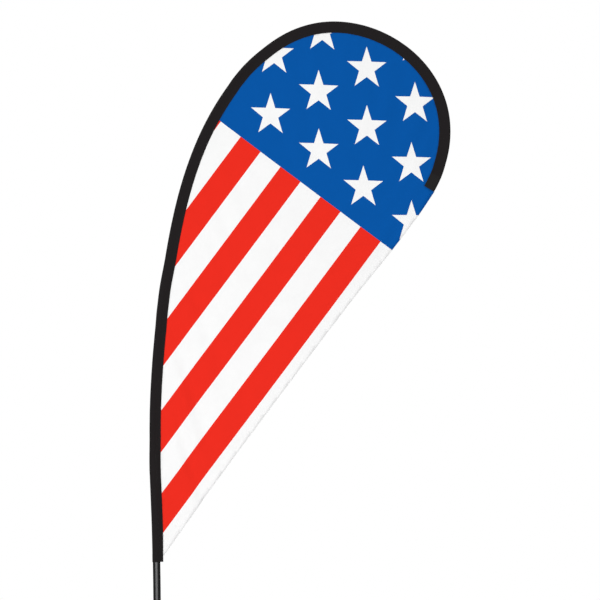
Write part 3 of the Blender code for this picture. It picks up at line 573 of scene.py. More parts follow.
def tube_faces(rows, columns, flip=False, closed_end=False):
    """An outer skin, then an inner one, joined at their ends or closed at the last."""
    total = rows * columns
    top = total - columns
    faces = (grid_faces(rows, columns, flip=flip)
             + grid_faces(rows, columns, flip=not flip, offset=total))
    for k in range(columns):
        m = (k + 1) % columns
        rims = [(m, k, total + k, total + m)]
        if not closed_end:
            rims.append((top + k, top + m, total + top + m, total + top + k))
        faces += [rim[::-1] if flip else rim for rim in rims]
    if closed_end:
        faces += [tuple(range(total - 1, top - 1, -1)), tuple(range(total + top, 2 * total))]
    return faces


def rounded(points, radius, steps=4, closed=False):
    """An outline with its corners rounded; a corner may give its own radius."""
    out = []
    count = len(points)
    for i, point in enumerate(points):
        here = Vector(point[:2])
        own = point[2] if len(point) > 2 else radius
        if (not closed and i in (0, count - 1)) or own <= 0.0:
            out.append(tuple(here))
            continue
        before = Vector(points[i - 1][:2]) - here
        after = Vector(points[(i + 1) % count][:2]) - here
        size = min(own, before.length * 0.49, after.length * 0.49)
        start = here + before.normalized() * size
        end = here + after.normalized() * size
        for k in range(steps + 1):
            t = k / steps
            spot = start * (1 - t) * (1 - t) + here * 2 * t * (1 - t) + end * t * t
            out.append((spot.x, spot.y))
    return out


def turned(name, profile, material, body, node, radius=0.0004, steps=64,
           ring=False):
    """A lathe-turned piece; the outline is (radius, height), counter-clockwise."""
    outline = rounded(profile, radius, 3, closed=ring)
    count = len(outline)
    verts = []
    uvs = []
    for i in range(steps):
        turn = 2.0 * math.pi * i / steps
        for r, z in outline:
            verts.append((r * math.cos(turn), r * math.sin(turn), z))
            uvs.append((turn * max(r, 0.001), z))
    faces = []
    for i in range(steps):
        j = (i + 1) % steps
        for k in range(count if ring else count - 1):
            m = (k + 1) % count
            face = [i * count + k, j * count + k, j * count + m, i * count + m]
            for point in (k, m):
                if outline[point][0] < 1e-9:
                    face.remove(j * count + point)
            if len(face) > 2:
                faces.append(tuple(face))
    return add_mesh(name, verts, faces, material, body, node, uvs, sharp=35)


def sweep(name, centres, normals, binormals, radii, sides, material, body, node):
    """A round bar, or a tube if radii holds an inner one too, along a line."""
    gaps = [(b - a).length for a, b in zip(centres, centres[1:])]
    runs = np.concatenate([[0.0], np.cumsum(gaps)])
    verts = []
    uvs = []
    for size in radii:
        for centre, normal, binormal, run in zip(centres, normals, binormals, runs):
            for k in range(sides):
                turn = 2.0 * math.pi * k / sides
                verts.append(centre + normal * (size * math.cos(turn))
                             + binormal * (size * math.sin(turn)))
                uvs.append((run, size * turn))
    faces = (tube_faces if len(radii) > 1 else bar_faces)(len(centres), sides)
    return add_mesh(name, verts, faces, material, body, node, uvs, sharp=40)


def stitch_row(name, points, normals, pitch, length, radius, material, flats=None):
    """A row of thread stitches lying on a surface along a line of points.

    flats gives each point's place on the flat cloth, for a printed thread."""
    points, normals = np.array(points, dtype=float), np.array(normals, dtype=float)
    gaps = np.linalg.norm(np.diff(points, axis=0), axis=1)
    run = np.concatenate([[0.0], np.cumsum(gaps)])

    def between(values, distance):
        return np.array([np.interp(distance, run, column) for column in values.T])

    def place(distance):
        up = between(normals, distance)
        return between(points, distance), up / np.linalg.norm(up)

    verts = []
    faces = []
    uvs = None if flats is None else []
    start = pitch * 0.5
    while start + length < run[-1]:
        a, up_a = place(start)
        b, up_b = place(start + length)
        up = place(start + length / 2)[1]
        side = np.cross((b - a) / np.linalg.norm(b - a), up)
        base = len(verts)
        verts.append(a - up_a * radius * 0.4)
        for share in (0.25, 0.75):
            centre = a + (b - a) * share
            for angle in (0.0, math.pi / 2, math.pi, math.pi * 1.5):
                verts.append(centre + side * radius * math.cos(angle)
                             + up * radius * (0.35 + math.sin(angle)))
        verts.append(b - up_b * radius * 0.4)
        if flats is not None:
            spot = tuple(between(np.array(flats), start + length / 2))
            uvs += [spot] * (len(verts) - base)
        for k in range(4):
            m = (k + 1) % 4
            faces += [(base, base + 1 + m, base + 1 + k),
                      (base + 1 + k, base + 1 + m, base + 5 + m, base + 5 + k),
                      (base + 5 + k, base + 5 + m, base + 9)]
        start += pitch
    return add_mesh(name, verts, faces, material, "pole", None, uvs)


# === cross base ===
def rectangle(width, height, corner, steps=5):
    """Rounded rectangle as (y, z) points, and 1 where a corner is."""
    points = []
    wear_and_highlight = []
    half_w, half_h = width / 2 - corner, height / 2 - corner
    for sign_y, sign_z, start in ((1, -1, -90), (1, 1, 0), (-1, 1, 90), (-1, -1, 180)):
        for k in range(steps + 1):
            turn = math.radians(start + 90.0 * k / steps)
            points.append((sign_y * half_w + corner * math.cos(turn),
                           sign_z * half_h + corner * math.sin(turn)))
            # 1 on the rounded corners, where the powder coat gets rubbed wear and a painted
            # highlight.
            wear_and_highlight.append(0.0 if k in (0, steps) else 1.0)
    return points, wear_and_highlight


def set_wear_and_highlight(piece, values):
    attribute = piece.data.attributes.new("wear_and_highlight", "FLOAT", "POINT")
    attribute.data.foreach_set("value", np.asarray(values, dtype=np.float32))


def place_points(points, angle, centre_z):
    """(along, aside, up) points of an arm, turned to its direction."""
    turn = Vector((math.cos(angle), math.sin(angle), 0.0))
    side = Vector((-math.sin(angle), math.cos(angle), 0.0))
    return [turn * x + side * y + Vector((0.0, 0.0, centre_z + z)) for x, y, z in points]


def arm(layer, body, angle):
    """One tube of the cross, with the plugs in its ends."""
    low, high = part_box(layer + "_arm")
    height = high.z - low.z
    centre_z = (low.z + high.z) / 2
    half = (high.x - low.x) / math.sqrt(2.0) - ARM_WIDTH / 2
    section, worn_and_highlit = rectangle(ARM_WIDTH, height, 0.0026)
    stops = [-half, -half + ARM_BEVEL] + [half * t / 20.0 for t in range(-19, 20)]
    stops += [half - ARM_BEVEL, half]
    points = []
    wear_and_highlight = []
    for x in stops:
        end = abs(x) == half
        shrink = 0.985 if end else 1.0
        points += [(x, y * shrink, z * shrink) for y, z in section]
        # Corners and tube ends carry the mark for the coat's rubbed wear and painted
        # highlight.
        wear_and_highlight += [1.0] * len(section) if end else worn_and_highlit
    beam = add_mesh(layer + "_arm_tube", place_points(points, angle, centre_z),
                    bar_faces(len(stops), len(section), True), POWDER_COAT, body,
                    layer + "_arm", [p[:2] for p in points], 50)
    set_wear_and_highlight(beam, wear_and_highlight)
    for side, end in ((-1, "a"), (1, "b")):
        end_cap(layer, end, body, angle, side * half, side, height, centre_z)


def end_cap(layer, end, body, angle, start, side, height, centre_z):
    """Push-in plug: a lip against the tube's end and a softly domed face."""
    # Distance from the tube's end, and share of the full section.
    rings = ((0.0002, 0.985), (0.0006, 1.0), (0.0018, 1.0), (0.0026, 0.975),
             (0.0030, 0.90), (0.0033, 0.6))
    section, _ = rectangle(ARM_WIDTH, height, 0.0030)
    points = []
    for offset, share in rings:
        inset = (1.0 - share) * height / 2
        points += [(start + side * offset, y - math.copysign(inset, y),
                    z - math.copysign(inset, z)) for y, z in section]
    add_mesh(layer + "_end_plug_" + end, place_points(points, angle, centre_z),
             bar_faces(len(rings), len(section), side > 0), PLASTIC, body,
             layer + "_end_cap_" + end, [p[1:] for p in points], 55)


def foot(layer, end, body):
    """Rubber foot with grip rings and a softened tread edge."""
    node = layer + "_foot_" + end
    low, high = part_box(node)
    centre = (low + high) / 2
    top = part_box(layer + "_arm")[0].z - RUBBER_GAP
    outer = (high.x - low.x) / 2
    profile = [(0.0, 0.0), (outer - 0.0016, 0.0, 0.0012), (outer, 0.0016, 0.0012)]
    rings = 2 if top < 0.02 else 4
    for i in range(rings):
        z = top * (0.35 + 0.5 * i / (rings - 1))
        r = outer - 0.0015 * z / top
        profile += [(r - dip, z + rise, 0.0003) for dip, rise in GRIP_GROOVE]
    profile += [(outer - 0.0017, top, 0.0010), (0.004, top, 0.0), (0.004, high.z, 0.0008),
                (0.0, high.z)]
    piece = turned(node + "_rubber", profile, RUBBER, body, node, steps=40)
    piece.data.transform(Matrix.Translation((centre.x, centre.y, 0.0)))


def mm(*points):
    return [tuple(value / 1000.0 for value in point) for point in points]


def hub():
    """The bearing housing, the spindle and the rubber foot under the hub.

    Outlines are (radius, height, corner radius) in millimetres."""
    housing = [(0, 4.5), (7.3, 4.5), (8, 5.2), (8, 55.9, 0), (30, 55.9, 0.4),
               (30, 60.9, 0.9), (25, 60.9, 0.9), (22, 63.5, 1.8)]
    for z in (70, 90):
        housing += [(22, z, 0.3), (21.4, z + 0.4, 0.2), (21.4, z + 1.2, 0.2),
                    (22, z + 1.6, 0.3)]
    housing += [(22, 98.2, 0.9), (17.6, 98.2, 0.4), (17.6, 91.8, 0), (18.8, 91.8, 0),
                (18.8, 90, 0), (17.6, 90, 0), (17.6, 64, 0), (14, 64, 0), (14, 60.6, 0),
                (0, 60.6)]
    turned("housing_shell", mm(*housing), POWDER_COAT, "base",
           "bearing_housing", steps=80)
    spindle = [(0, 61.2), (8.2, 61.2, 0.4), (8.2, 62.7, 0), (7.4, 62.7, 0), (7.4, 64.3, 0),
               (8.2, 64.3, 0), (8.2, 90.3, 0), (10.2, 90.3, 0), (10.2, 99, 0),
               (17, 99, 0.3), (17, 103, 0.6), (10.4, 103, 0.5)]
    for z in O_RING_HEIGHTS:
        spindle += [(10.4, z - 1.05, 0.2), (8.85, z - 1.05, 0.2), (8.85, z + 1.05, 0.2),
                    (10.4, z + 1.05, 0.2)]
    spindle += [(10.4, 300, 0.4), (8.8, 303, 0.6), (0, 303)]
    turned("spindle_pin", mm(*spindle), ZINC, "rotor", "spindle", 0.0003, 72)
    for label, z in zip(("lower", "upper"), O_RING_HEIGHTS):
        section = [(9.85 + 0.75 * math.cos(a), z + 0.75 * math.sin(a), 0)
                   for a in np.linspace(0.0, 2.0 * math.pi, 12, endpoint=False)]
        turned("o_ring_" + label + "_rubber", mm(*section), RUBBER, "rotor",
               "o_ring_" + label, 0.0, ring=True)
    top = 1000.0 * (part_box("lower_arm")[0].z - RUBBER_GAP)
    cup = [(0, 0), (20, 0, 1), (21, 1.2, 0.8), (21, 5, 0.3), (20.4, 5.5, 0.3),
           (20.4, 6.2, 0.3), (21, 6.7, 0.3), (21, top, 1), (15.5, top, 0.5),
           (15.5, 3.2, 0.5), (0, 3.2)]
    turned("hub_foot_rubber", mm(*cup), RUBBER, "base", "hub_foot")


def keep_cad(node, material):
    """A CAD node that stays: a better material and smooth shading."""
    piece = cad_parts[node]
    piece.data.materials.clear()
    piece.data.materials.append(material)
    piece.data.polygons.foreach_set("use_smooth", [True] * len(piece.data.polygons))
    keep_edges(piece, 32)


def cross_base():
    layers = (("lower", "base", 45.0), ("upper", "cross_arm", -45.0))
    for layer, body, turn in layers:
        arm(layer, body, math.radians(turn))
    for layer, body, _ in layers:
        for end in "ab":
            foot(layer, end, body)
    hub()
    kept = {
        POWDER_COAT: ("lower_arm_bush", "upper_arm_bush"),
        ZINC: ("hub_lock_nut", "nut_washer", "outer_spacer", "inner_spacer",
               "housing_circlip", "spindle_circlip"),
        GROUND_STEEL: ("lower_outer_ring", "upper_outer_ring", "lower_inner_ring",
                       "upper_inner_ring", "lower_ball_cage", "upper_ball_cage"),
        PLASTIC: ("friction_washer", "base_tube_bush", "base_tube_lip"),
        RUBBER: ("dust_seal", "tip_cap"),
        ANODISED: ("second_ferrule", "third_ferrule"),
        FIBREGLASS: ("pole_second_tube", "pole_third_tube", "pole_tip_rod"),
    }
    for material, nodes in kept.items():
        for node in nodes:
            keep_cad(node, material)


# === pole ===


def base_tube():
    lengths = np.linspace(*BASE_TUBE, 60)
    centres = [Vector((x, 0.0, z)) for x, z in map(axis_point, lengths)]
    normals = [Vector((-math.cos(turn), 0.0, math.sin(turn)))
               for turn in map(heading_at, lengths)]
    sweep("base_tube", centres, normals, [Vector((0.0, 1.0, 0.0))] * len(lengths),
          (TUBE_RADIUS, TUBE_RADIUS - TUBE_WALL), 48, ANODISED, "pole",
          "pole_base_tube")


# === sleeve ===
def skin(radius, tip):
    """Section of the sleeve round the pole as (outward, depth) points."""
    corner = tip - SEAM_FLAT
    distance = max(math.hypot(corner, SEAM_HALF), radius * 1.02)
    reach = math.pi - math.atan2(SEAM_HALF, corner) - math.acos(radius / distance)
    turns = [-reach + 2.0 * reach * i / (ARC_POINTS - 1) for i in range(ARC_POINTS)]
    seam = [-tip, -tip + SEAM_FLAT * 0.5, -corner]
    return ([(outward, -SEAM_HALF) for outward in seam]
            + [(radius * math.cos(turn), radius * math.sin(turn)) for turn in turns]
            + [(outward, SEAM_HALF) for outward in reversed(seam)])


def pucker(length, outward):
    """Small gathers where the straight-cut sleeve is bent round the top."""
    tight = smoothstep(0.8, 2.6, curvature(length))
    inside = smoothstep(0.0, -0.024, outward)
    gather = math.sin(2.0 * math.pi * length / 0.021 + 3.0 * wave(length * 9.0, 1.7))
    return 0.00035 * tight * inside * gather * (0.6 + 0.6 * wave(length * 14.0, 5.1))


def crease(length, around):
    """Slow drags in the cloth along the pole."""
    slow = wave(length * 9.0, around * 1.3, 2.0)
    fine = wave(length * 38.0 + around * 2.0, around * 2.2, 7.0)
    return 0.00045 * slow + 0.00022 * fine


def sleeve_rings(lengths, grow):
    """The sleeve's sections, swollen by grow and creased."""
    rings = []
    for length in lengths:
        tip = seam_edge(length)
        outline = skin(room_at(length) + SLEEVE_WALL, tip)
        ring = []
        for k, (outward, depth) in enumerate(outline):
            if outward < -tip + SEAM_FLAT + 1e-6:
                depth += math.copysign(grow, depth) + pucker(length, outward)
            else:
                around = k / (len(outline) - 1) * 2.0 - 1.0
                on_pole = smoothstep(-tip + SEAM_FLAT, 0.0, outward)
                swell = grow + crease(length, around) * on_pole
                size = math.hypot(outward, depth)
                outward += outward / size * swell * 0.5
                depth += depth / size * swell + pucker(length, outward)
            x, z = beside_axis(length, outward)
            ring.append(Vector((x, depth, z)))
        rings.append(ring)
    return rings


def cloth_tube(name, start, end, step, grow, material, node, closed_end=False):
    """Black cloth round the pole: outer skin, inner skin, and turned-in ends.

    Gives the piece and the size it is cut to."""
    lengths = np.linspace(start, end, max(int(round((end - start) / step)), 3) + 1)
    outer = sleeve_rings(lengths, grow)
    columns = len(outer[0])
    inner = []
    for length, ring in zip(lengths, outer):
        set_back = max(0.0, length - POCKET_FLOOR) if closed_end else 0.0
        x, z = axis_point(length)
        middle = Vector((x, 0.0, z))
        turn = heading_at(length)
        along = Vector((math.sin(turn), 0.0, math.cos(turn)))
        shrunk = []
        for k, point in enumerate(ring):
            normal = (ring[(k + 1) % columns] - ring[k - 1]).cross(along)
            if normal.length < 1e-9:
                normal = point - middle
            normal.normalize()
            if normal.dot(middle - point) < 0.0:
                normal = -normal
            shrunk.append(point + normal * SLEEVE_WALL * 0.9 - along * set_back)
        inner.append(shrunk)
    verts = []
    uvs = []
    for rings, run_start in ((outer, 0.0), (inner, 0.2)):
        for length, ring in zip(lengths, rings):
            run = run_start
            for k, point in enumerate(ring):
                if k:
                    run += (point - ring[k - 1]).length
                verts.append(point)
                uvs.append((length, run))
    girths = [sum((a - b).length for a, b in zip(ring, ring[1:])) for ring in outer]
    tube = add_mesh(name, verts, tube_faces(len(lengths), columns, True, closed_end),
                    material, "pole", node, uvs, 60)
    return tube, (sum(girths) / len(girths), end - start)


def seam_stitches(name, inset):
    """Stitches along the sleeve's flat seam, on the front and on the back."""
    lengths = np.arange(HEM_BAND_TOP + 0.002, POCKET_START - 0.002, 0.006)
    rows = []
    for side, label in ((-1, "front"), (1, "back")):
        points = []
        for length in lengths:
            outward = inset - seam_edge(length)
            x, z = beside_axis(length, outward)
            points.append((x, side * (SEAM_HALF + 0.00012) + pucker(length, outward), z))
        rows.append(stitch_row(name + "_" + label, points, [(0.0, side, 0.0)] * len(points),
                               0.0034, 0.0026, 0.00028, BLACK_THREAD))
    return rows


def sleeve():
    body, body_cut = cloth_tube("black_sleeve", HEM_BAND_TOP - 0.004, POCKET_START + 0.004,
                                0.006, 0.0, SLEEVE_CLOTH, "pole_sleeve")
    band, band_cut = cloth_tube("sleeve_bottom_hem", SLEEVE_BOTTOM, HEM_BAND_TOP, 0.0025,
                                0.0006, SLEEVE_CLOTH, "sleeve_hem")
    pocket, pocket_cut = cloth_tube("tip_pocket_patch", POCKET_START, SLEEVE_END, 0.003,
                                    0.0006, WEBBING, "tip_pocket", closed_end=True)
    trim = seam_stitches("seam_stitch_edge", 0.0016)
    trim += seam_stitches("seam_stitch_inner", 0.0052)


# === printed cloth ===
def seam_line(inset, step):
    """Points along the sleeve's flag side, inset from its edge into the seam."""
    lengths = np.arange(SLEEVE_BOTTOM + 0.001, SLEEVE_END, step)
    lengths = np.append(lengths, SLEEVE_END)
    return lengths, [beside_axis(s, -(seam_edge(s) - inset)) for s in lengths]


def trailing_points(inset, count=160):
    run = Vector((TRAILING_TOP[0] - TRAILING_FOOT[0], TRAILING_TOP[1] - TRAILING_FOOT[1]))
    into = Vector((-run.y, run.x)).normalized()
    points = []
    for i in range(count + 1):
        t = i / count
        depth = inset + eased(TRAILING_HOLLOW, t * (len(TRAILING_HOLLOW) - 1))
        spot = Vector(TRAILING_FOOT) + run * t + into * depth
        points.append((spot.x, spot.y))
    return points


def cloth_outline():
    """Closed outline of the flat cloth, and which of its points are sewn down."""
    lengths, seam = seam_line(TUCKED_IN, CLOTH_SPACING)
    seam = [p for s, p in zip(lengths, seam) if s > CLOTH_FOOT + 0.001]
    x, z = axis_point(SLEEVE_END)
    turn = heading_at(SLEEVE_END)
    cut = []
    for t, back in ((0.25, 0.002), (0.5, 0.002), (0.75, 0.002), (0.985, 0.0006)):
        outward = -seam_edge(SLEEVE_END) + SLEEVE_WIDTH * t
        cut.append((x - math.cos(turn) * outward - math.sin(turn) * back,
                    z + math.sin(turn) * outward - math.cos(turn) * back))
    trailing = trailing_points(0.0)
    foot_point = beside_axis(CLOTH_FOOT, -(seam_edge(CLOTH_FOOT) - TUCKED_IN))
    outline = [foot_point] + seam + cut + trailing[::-1]
    sewn = [True] * (2 + len(seam) + len(cut)) + [False] * (len(trailing) - 2) + [True]
    return outline, sewn


def inside_outline(points, outline, margin):
    """Which points lie inside the outline, more than margin from its edges."""
    poly = np.asarray(outline)
    run = np.roll(poly, -1, axis=0) - poly
    length_squared = np.maximum((run ** 2).sum(axis=1), 1e-12)
    keep = []
    for point in points:
        start = poly - point
        end = start + run
        turns = np.arctan2(start[:, 0] * end[:, 1] - start[:, 1] * end[:, 0],
                           (start * end).sum(axis=1))
        t = np.clip(-(start * run).sum(axis=1) / length_squared, 0.0, 1.0)
        gaps = np.hypot(*(start + run * t[:, None]).T)
        keep.append(abs(turns.sum()) > math.pi and gaps.min() > margin)
    return np.array(keep)


def cloth_mesh():
    """Even triangles over the flat cloth: points (x, z), triangles, sewn ones."""
    outline, sewn = cloth_outline()
    poly = np.asarray(outline)
    low, high = poly.min(axis=0), poly.max(axis=0)
    row = CLOTH_SPACING * math.sqrt(3.0) / 2.0
    grid = []
    for j in range(int((high[1] - low[1]) / row) + 1):
        shift = CLOTH_SPACING / 2.0 if j % 2 else 0.0
        for x in np.arange(low[0] + shift, high[0], CLOTH_SPACING):
            grid.append((x, low[1] + j * row))
    grid = np.asarray(grid)
    grid = grid[inside_outline(grid, outline, CLOTH_SPACING * 0.55)]
    points = [Vector(p) for p in outline] + [Vector(p) for p in grid]
    result = delaunay_2d_cdt(points, [], [list(range(len(outline)))], 1, 1e-7)
    flat = np.array([(v.x, v.y) for v in result[0]])
    held = np.array([any(sewn[k] for k in sources if k < len(outline))
                     for sources in result[3]])
    return flat, [tuple(f) for f in result[2]], held


def simulate(flat, triangles, held):
    """Lets the wind belly the cloth between the sleeve and its free edge."""
    mesh = bpy.data.meshes.new("cloth_sim")
    mesh.from_pydata([(x, 0.0, z) for x, z in flat], [], triangles)
    cloth = bpy.data.objects.new("cloth_sim", mesh)
    scene = bpy.context.scene
    scene.collection.objects.link(cloth)
    group = cloth.vertex_groups.new(name="sewn")
    group.add([int(i) for i in np.nonzero(held)[0]], 1.0, "REPLACE")
    step = cloth.modifiers.new("cloth", "CLOTH")
    settings = step.settings
    settings.quality = 7
    settings.mass = 0.03
    settings.air_damping = 2.5
    for kind, stiffness, damping in (("tension", 25.0, 12.0), ("compression", 25.0, 12.0),
                                     ("shear", 12.0, 8.0), ("bending", 0.08, 0.5)):
        setattr(settings, kind + "_stiffness", stiffness)
        setattr(settings, kind + "_damping", damping)
    settings.vertex_group_mass = "sewn"
    settings.shrink_min = -CLOTH_SLACK
    step.collision_settings.use_collision = False
    step.collision_settings.use_self_collision = False
    step.point_cache.frame_start = 1
    step.point_cache.frame_end = SIM_FRAMES
    blower = bpy.data.objects.new("blower", None)
    scene.collection.objects.link(blower)
    blower.rotation_euler = (math.radians(-90.0), 0.0, 0.0)
    bpy.context.view_layer.objects.active = blower
    blower.select_set(True)
    bpy.ops.object.forcefield_toggle()
    wind = blower.field
    wind.type = "WIND"
    wind.strength, wind.flow, wind.noise, wind.seed = 12.0, 0.0, 1.5, 4
    for tick in range(1, SIM_FRAMES + 1):
        scene.frame_set(tick)
    settled = cloth.evaluated_get(bpy.context.evaluated_depsgraph_get())
    out = np.zeros(len(flat) * 3)
    settled.to_mesh().vertices.foreach_get("co", out)
    settled.to_mesh_clear()
    bpy.data.objects.remove(cloth, do_unlink=True)
    bpy.data.objects.remove(blower, do_unlink=True)
    scene.frame_set(1)
    return out.reshape(-1, 3)


def upright(flat):
    """The flat cloth's points stood up in the plane y = 0."""
    return np.stack([flat[:, 0], np.zeros(len(flat)), flat[:, 1]], axis=1)


def smoothed(flat, shaped, triangles, held):
    """Evens out the simulated cloth; its sewn points stay where they are."""
    pairs = np.array([(t[k], t[k - 1]) for t in triangles for k in range(3)])
    pairs = np.concatenate([pairs, pairs[:, ::-1]])
    counts = np.bincount(pairs[:, 0], minlength=len(flat))[:, None]
    moved = shaped - upright(flat)
    for _ in range(SMOOTHING_PASSES):
        total = np.zeros_like(moved)
        np.add.at(total, pairs[:, 0], moved[pairs[:, 1]])
        relaxed = 0.5 * moved + 0.5 * total / counts
        moved = np.where(held[:, None], moved, relaxed)
    return moved + upright(flat)


def add_puckers(flat, shaped):
    """Gathers along the sewn edge and fine tension folds from the two corners."""
    lengths, seam = seam_line(0.0, 0.004)
    tree = KDTree(len(seam))
    for i, (x, z) in enumerate(seam):
        tree.insert((x, 0.0, z), i)
    tree.balance()
    # Corner, direction of the cloth from it, and how far its folds reach.
    corners = ((Vector(TRAILING_FOOT), (0.60, 0.80), 0.50),
               (Vector(TRAILING_TOP), (-0.60, -0.80), 0.34))
    for i, (x, z) in enumerate(flat):
        _, k, distance = tree.find((x, 0.0, z))
        s = lengths[k]
        gather = math.sin(2.0 * math.pi * s / 0.034 + 4.0 * wave(s * 5.0, 0.3))
        size = 0.0009 * (0.5 + wave(s * 3.0, 9.0))
        fade = math.exp(-distance / 0.030) * smoothstep(0.0, 0.010, distance)
        lift = size * gather * fade
        for corner, toward, reach in corners:
            away = Vector((x, z)) - corner
            far = away.length
            turn = math.atan2(away.x * toward[1] - away.y * toward[0],
                              away.x * toward[0] + away.y * toward[1])
            fold = math.sin(turn * 16.0 + 1.3 * wave(turn * 4.0, far * 2.0))
            lift += (0.0011 * fold * smoothstep(0.06, 0.24, far)
                     * math.exp(-((far / reach) ** 2)) * smoothstep(0.0, 0.02, distance))
        shaped[i, 1] += lift
    return shaped


class ClothMap:
    """Finds where a point of the flat cloth ends up on the shaped cloth."""

    def __init__(self, flat, triangles, shaped):
        self.flat = flat
        self.triangles = triangles
        self.shaped = shaped
        self.tree = BVHTree.FromPolygons([(x, 0.0, z) for x, z in flat], triangles)
        corners = np.asarray(triangles)
        first, second, third = (shaped[corners[:, k]] for k in range(3))
        facing = np.cross(second - first, third - first)
        facing[facing[:, 1] > 0.0] *= -1.0
        self.normals = np.zeros_like(shaped)
        for k in range(3):
            np.add.at(self.normals, corners[:, k], facing)

    def place(self, x, z):
        """The point's place, and the direction the cloth's front faces there."""
        near, _, index, _ = self.tree.find_nearest((x, 0.0, z))
        corners = list(self.triangles[index])
        a, b, c = self.flat[corners]
        u, v = np.linalg.solve(np.array((b - a, c - a)).T, np.array((near.x, near.z)) - a)
        a, b, c = self.normals[corners]
        normal = a * (1.0 - u - v) + b * u + c * v
        a, b, c = self.shaped[corners]
        return a + (b - a) * u + (c - a) * v, normal / np.linalg.norm(normal)


def flag_cloth():
    flat, triangles, held = cloth_mesh()
    shaped = upright(flat)
    shaped = smoothed(flat, simulate(flat, triangles, held), triangles, held)
    shaped = add_puckers(flat, shaped)
    a, b, c = triangles[0]
    if np.cross(shaped[b] - shaped[a], shaped[c] - shaped[a])[1] > 0.0:
        triangles = [t[::-1] for t in triangles]
    cloth = add_mesh("flag_cloth", shaped, triangles, PRINT_FRONT, "pole",
                     "flag_panel", flat)
    cloth.data.materials.append(PRINT_BACK)
    shell = cloth.modifiers.new("thickness", "SOLIDIFY")
    shell.thickness = CLOTH_THICKNESS
    shell.offset = 0.0
    shell.material_offset = 1
    shell.material_offset_rim = 0
    trim = trailing_hem(ClothMap(flat, triangles, shaped))
    area = sum(0.5 * abs(np.cross(flat[q] - flat[p], flat[r] - flat[p]))
               for p, q, r in triangles)


def clear_of_sleeve(spot):
    """How far a point of the flat cloth lies outside the sleeve's straight foot."""
    low, high = (Vector(beside_axis(s, -seam_edge(s)))
                 for s in (HEM_BAND_TOP, HEM_BAND_TOP + 0.03))
    run = (high - low).normalized()
    return (Vector(spot) - low).dot(Vector((run.y, -run.x)))


def clear_of_pocket(spot):
    """How far a point of the flat cloth lies beyond the sleeve's upper end."""
    turn = heading_at(SLEEVE_END)
    return (Vector(spot) - Vector(axis_point(SLEEVE_END))).dot(
        Vector((math.sin(turn), math.cos(turn))))


def trailing_hem(where):
    """The free edge folded to the back, with a row of fine stitches."""
    # Share of the hem's width, reach past the edge, and depth behind the cloth.
    profile = ((0.02, 0.0, -0.00028), (0.0, 0.0003, -0.00020), (0.0, 0.0006, 0.0004),
               (0.0, 0.0003, 0.0009), (0.06, 0.0, 0.0011), (0.3, 0.0, 0.00108),
               (0.55, 0.0, 0.00104), (0.8, 0.0, 0.00092), (1.0, 0.0, 0.00080),
               (1.0, 0.0, 0.00040), (0.8, 0.0, 0.00040), (0.55, 0.0, 0.00040),
               (0.3, 0.0, 0.00040), (0.06, 0.0, 0.00038))
    verts = []
    uvs = []
    for start, end in zip(*(trailing_points(inset, HEM_ROWS) for inset in (0.0, HEM_WIDTH))):
        near, far = clear_of_sleeve(start), clear_of_sleeve(end)
        if near < HEM_CLEAR:
            continue
        full = 1.0 if far > HEM_CLEAR else (near - HEM_CLEAR) / (near - far)
        first, edge_up = where.place(*start)
        into = where.place(*end)[0] - first
        into /= np.linalg.norm(into)
        for share, beyond, back in profile:
            x, z = (a + (b - a) * full * share for a, b in zip(start, end))
            spot, up = where.place(x, z)
            verts.append(spot - into * beyond - (edge_up if share < 0.1 else up) * back)
            uvs.append((x, z))
    hem = add_mesh("trailing_hem_fold", verts,
                   bar_faces(len(verts) // len(profile), len(profile)), PRINT_BACK, "pole",
                   "trailing_hem", uvs, 70)
    stitched = [spot for spot in trailing_points(HEM_WIDTH - 0.0022, HEM_ROWS)
                if min(clear_of_sleeve(spot), clear_of_pocket(spot)) > STITCH_CLEAR]
    laid = [where.place(*spot) for spot in stitched]
    trim = [hem]
    for side, label, lift, material in ((-1.0, "front", CLOTH_THICKNESS / 2, PRINT_FRONT),
                                        (1.0, "back", 0.0010, PRINT_BACK)):
        trim.append(stitch_row("trailing_stitch_" + label,
                               [spot - up * side * lift for spot, up in laid],
                               [-up * side for _, up in laid], 0.0034, 0.0025, 0.00024,
                               material, stitched))
    return trim


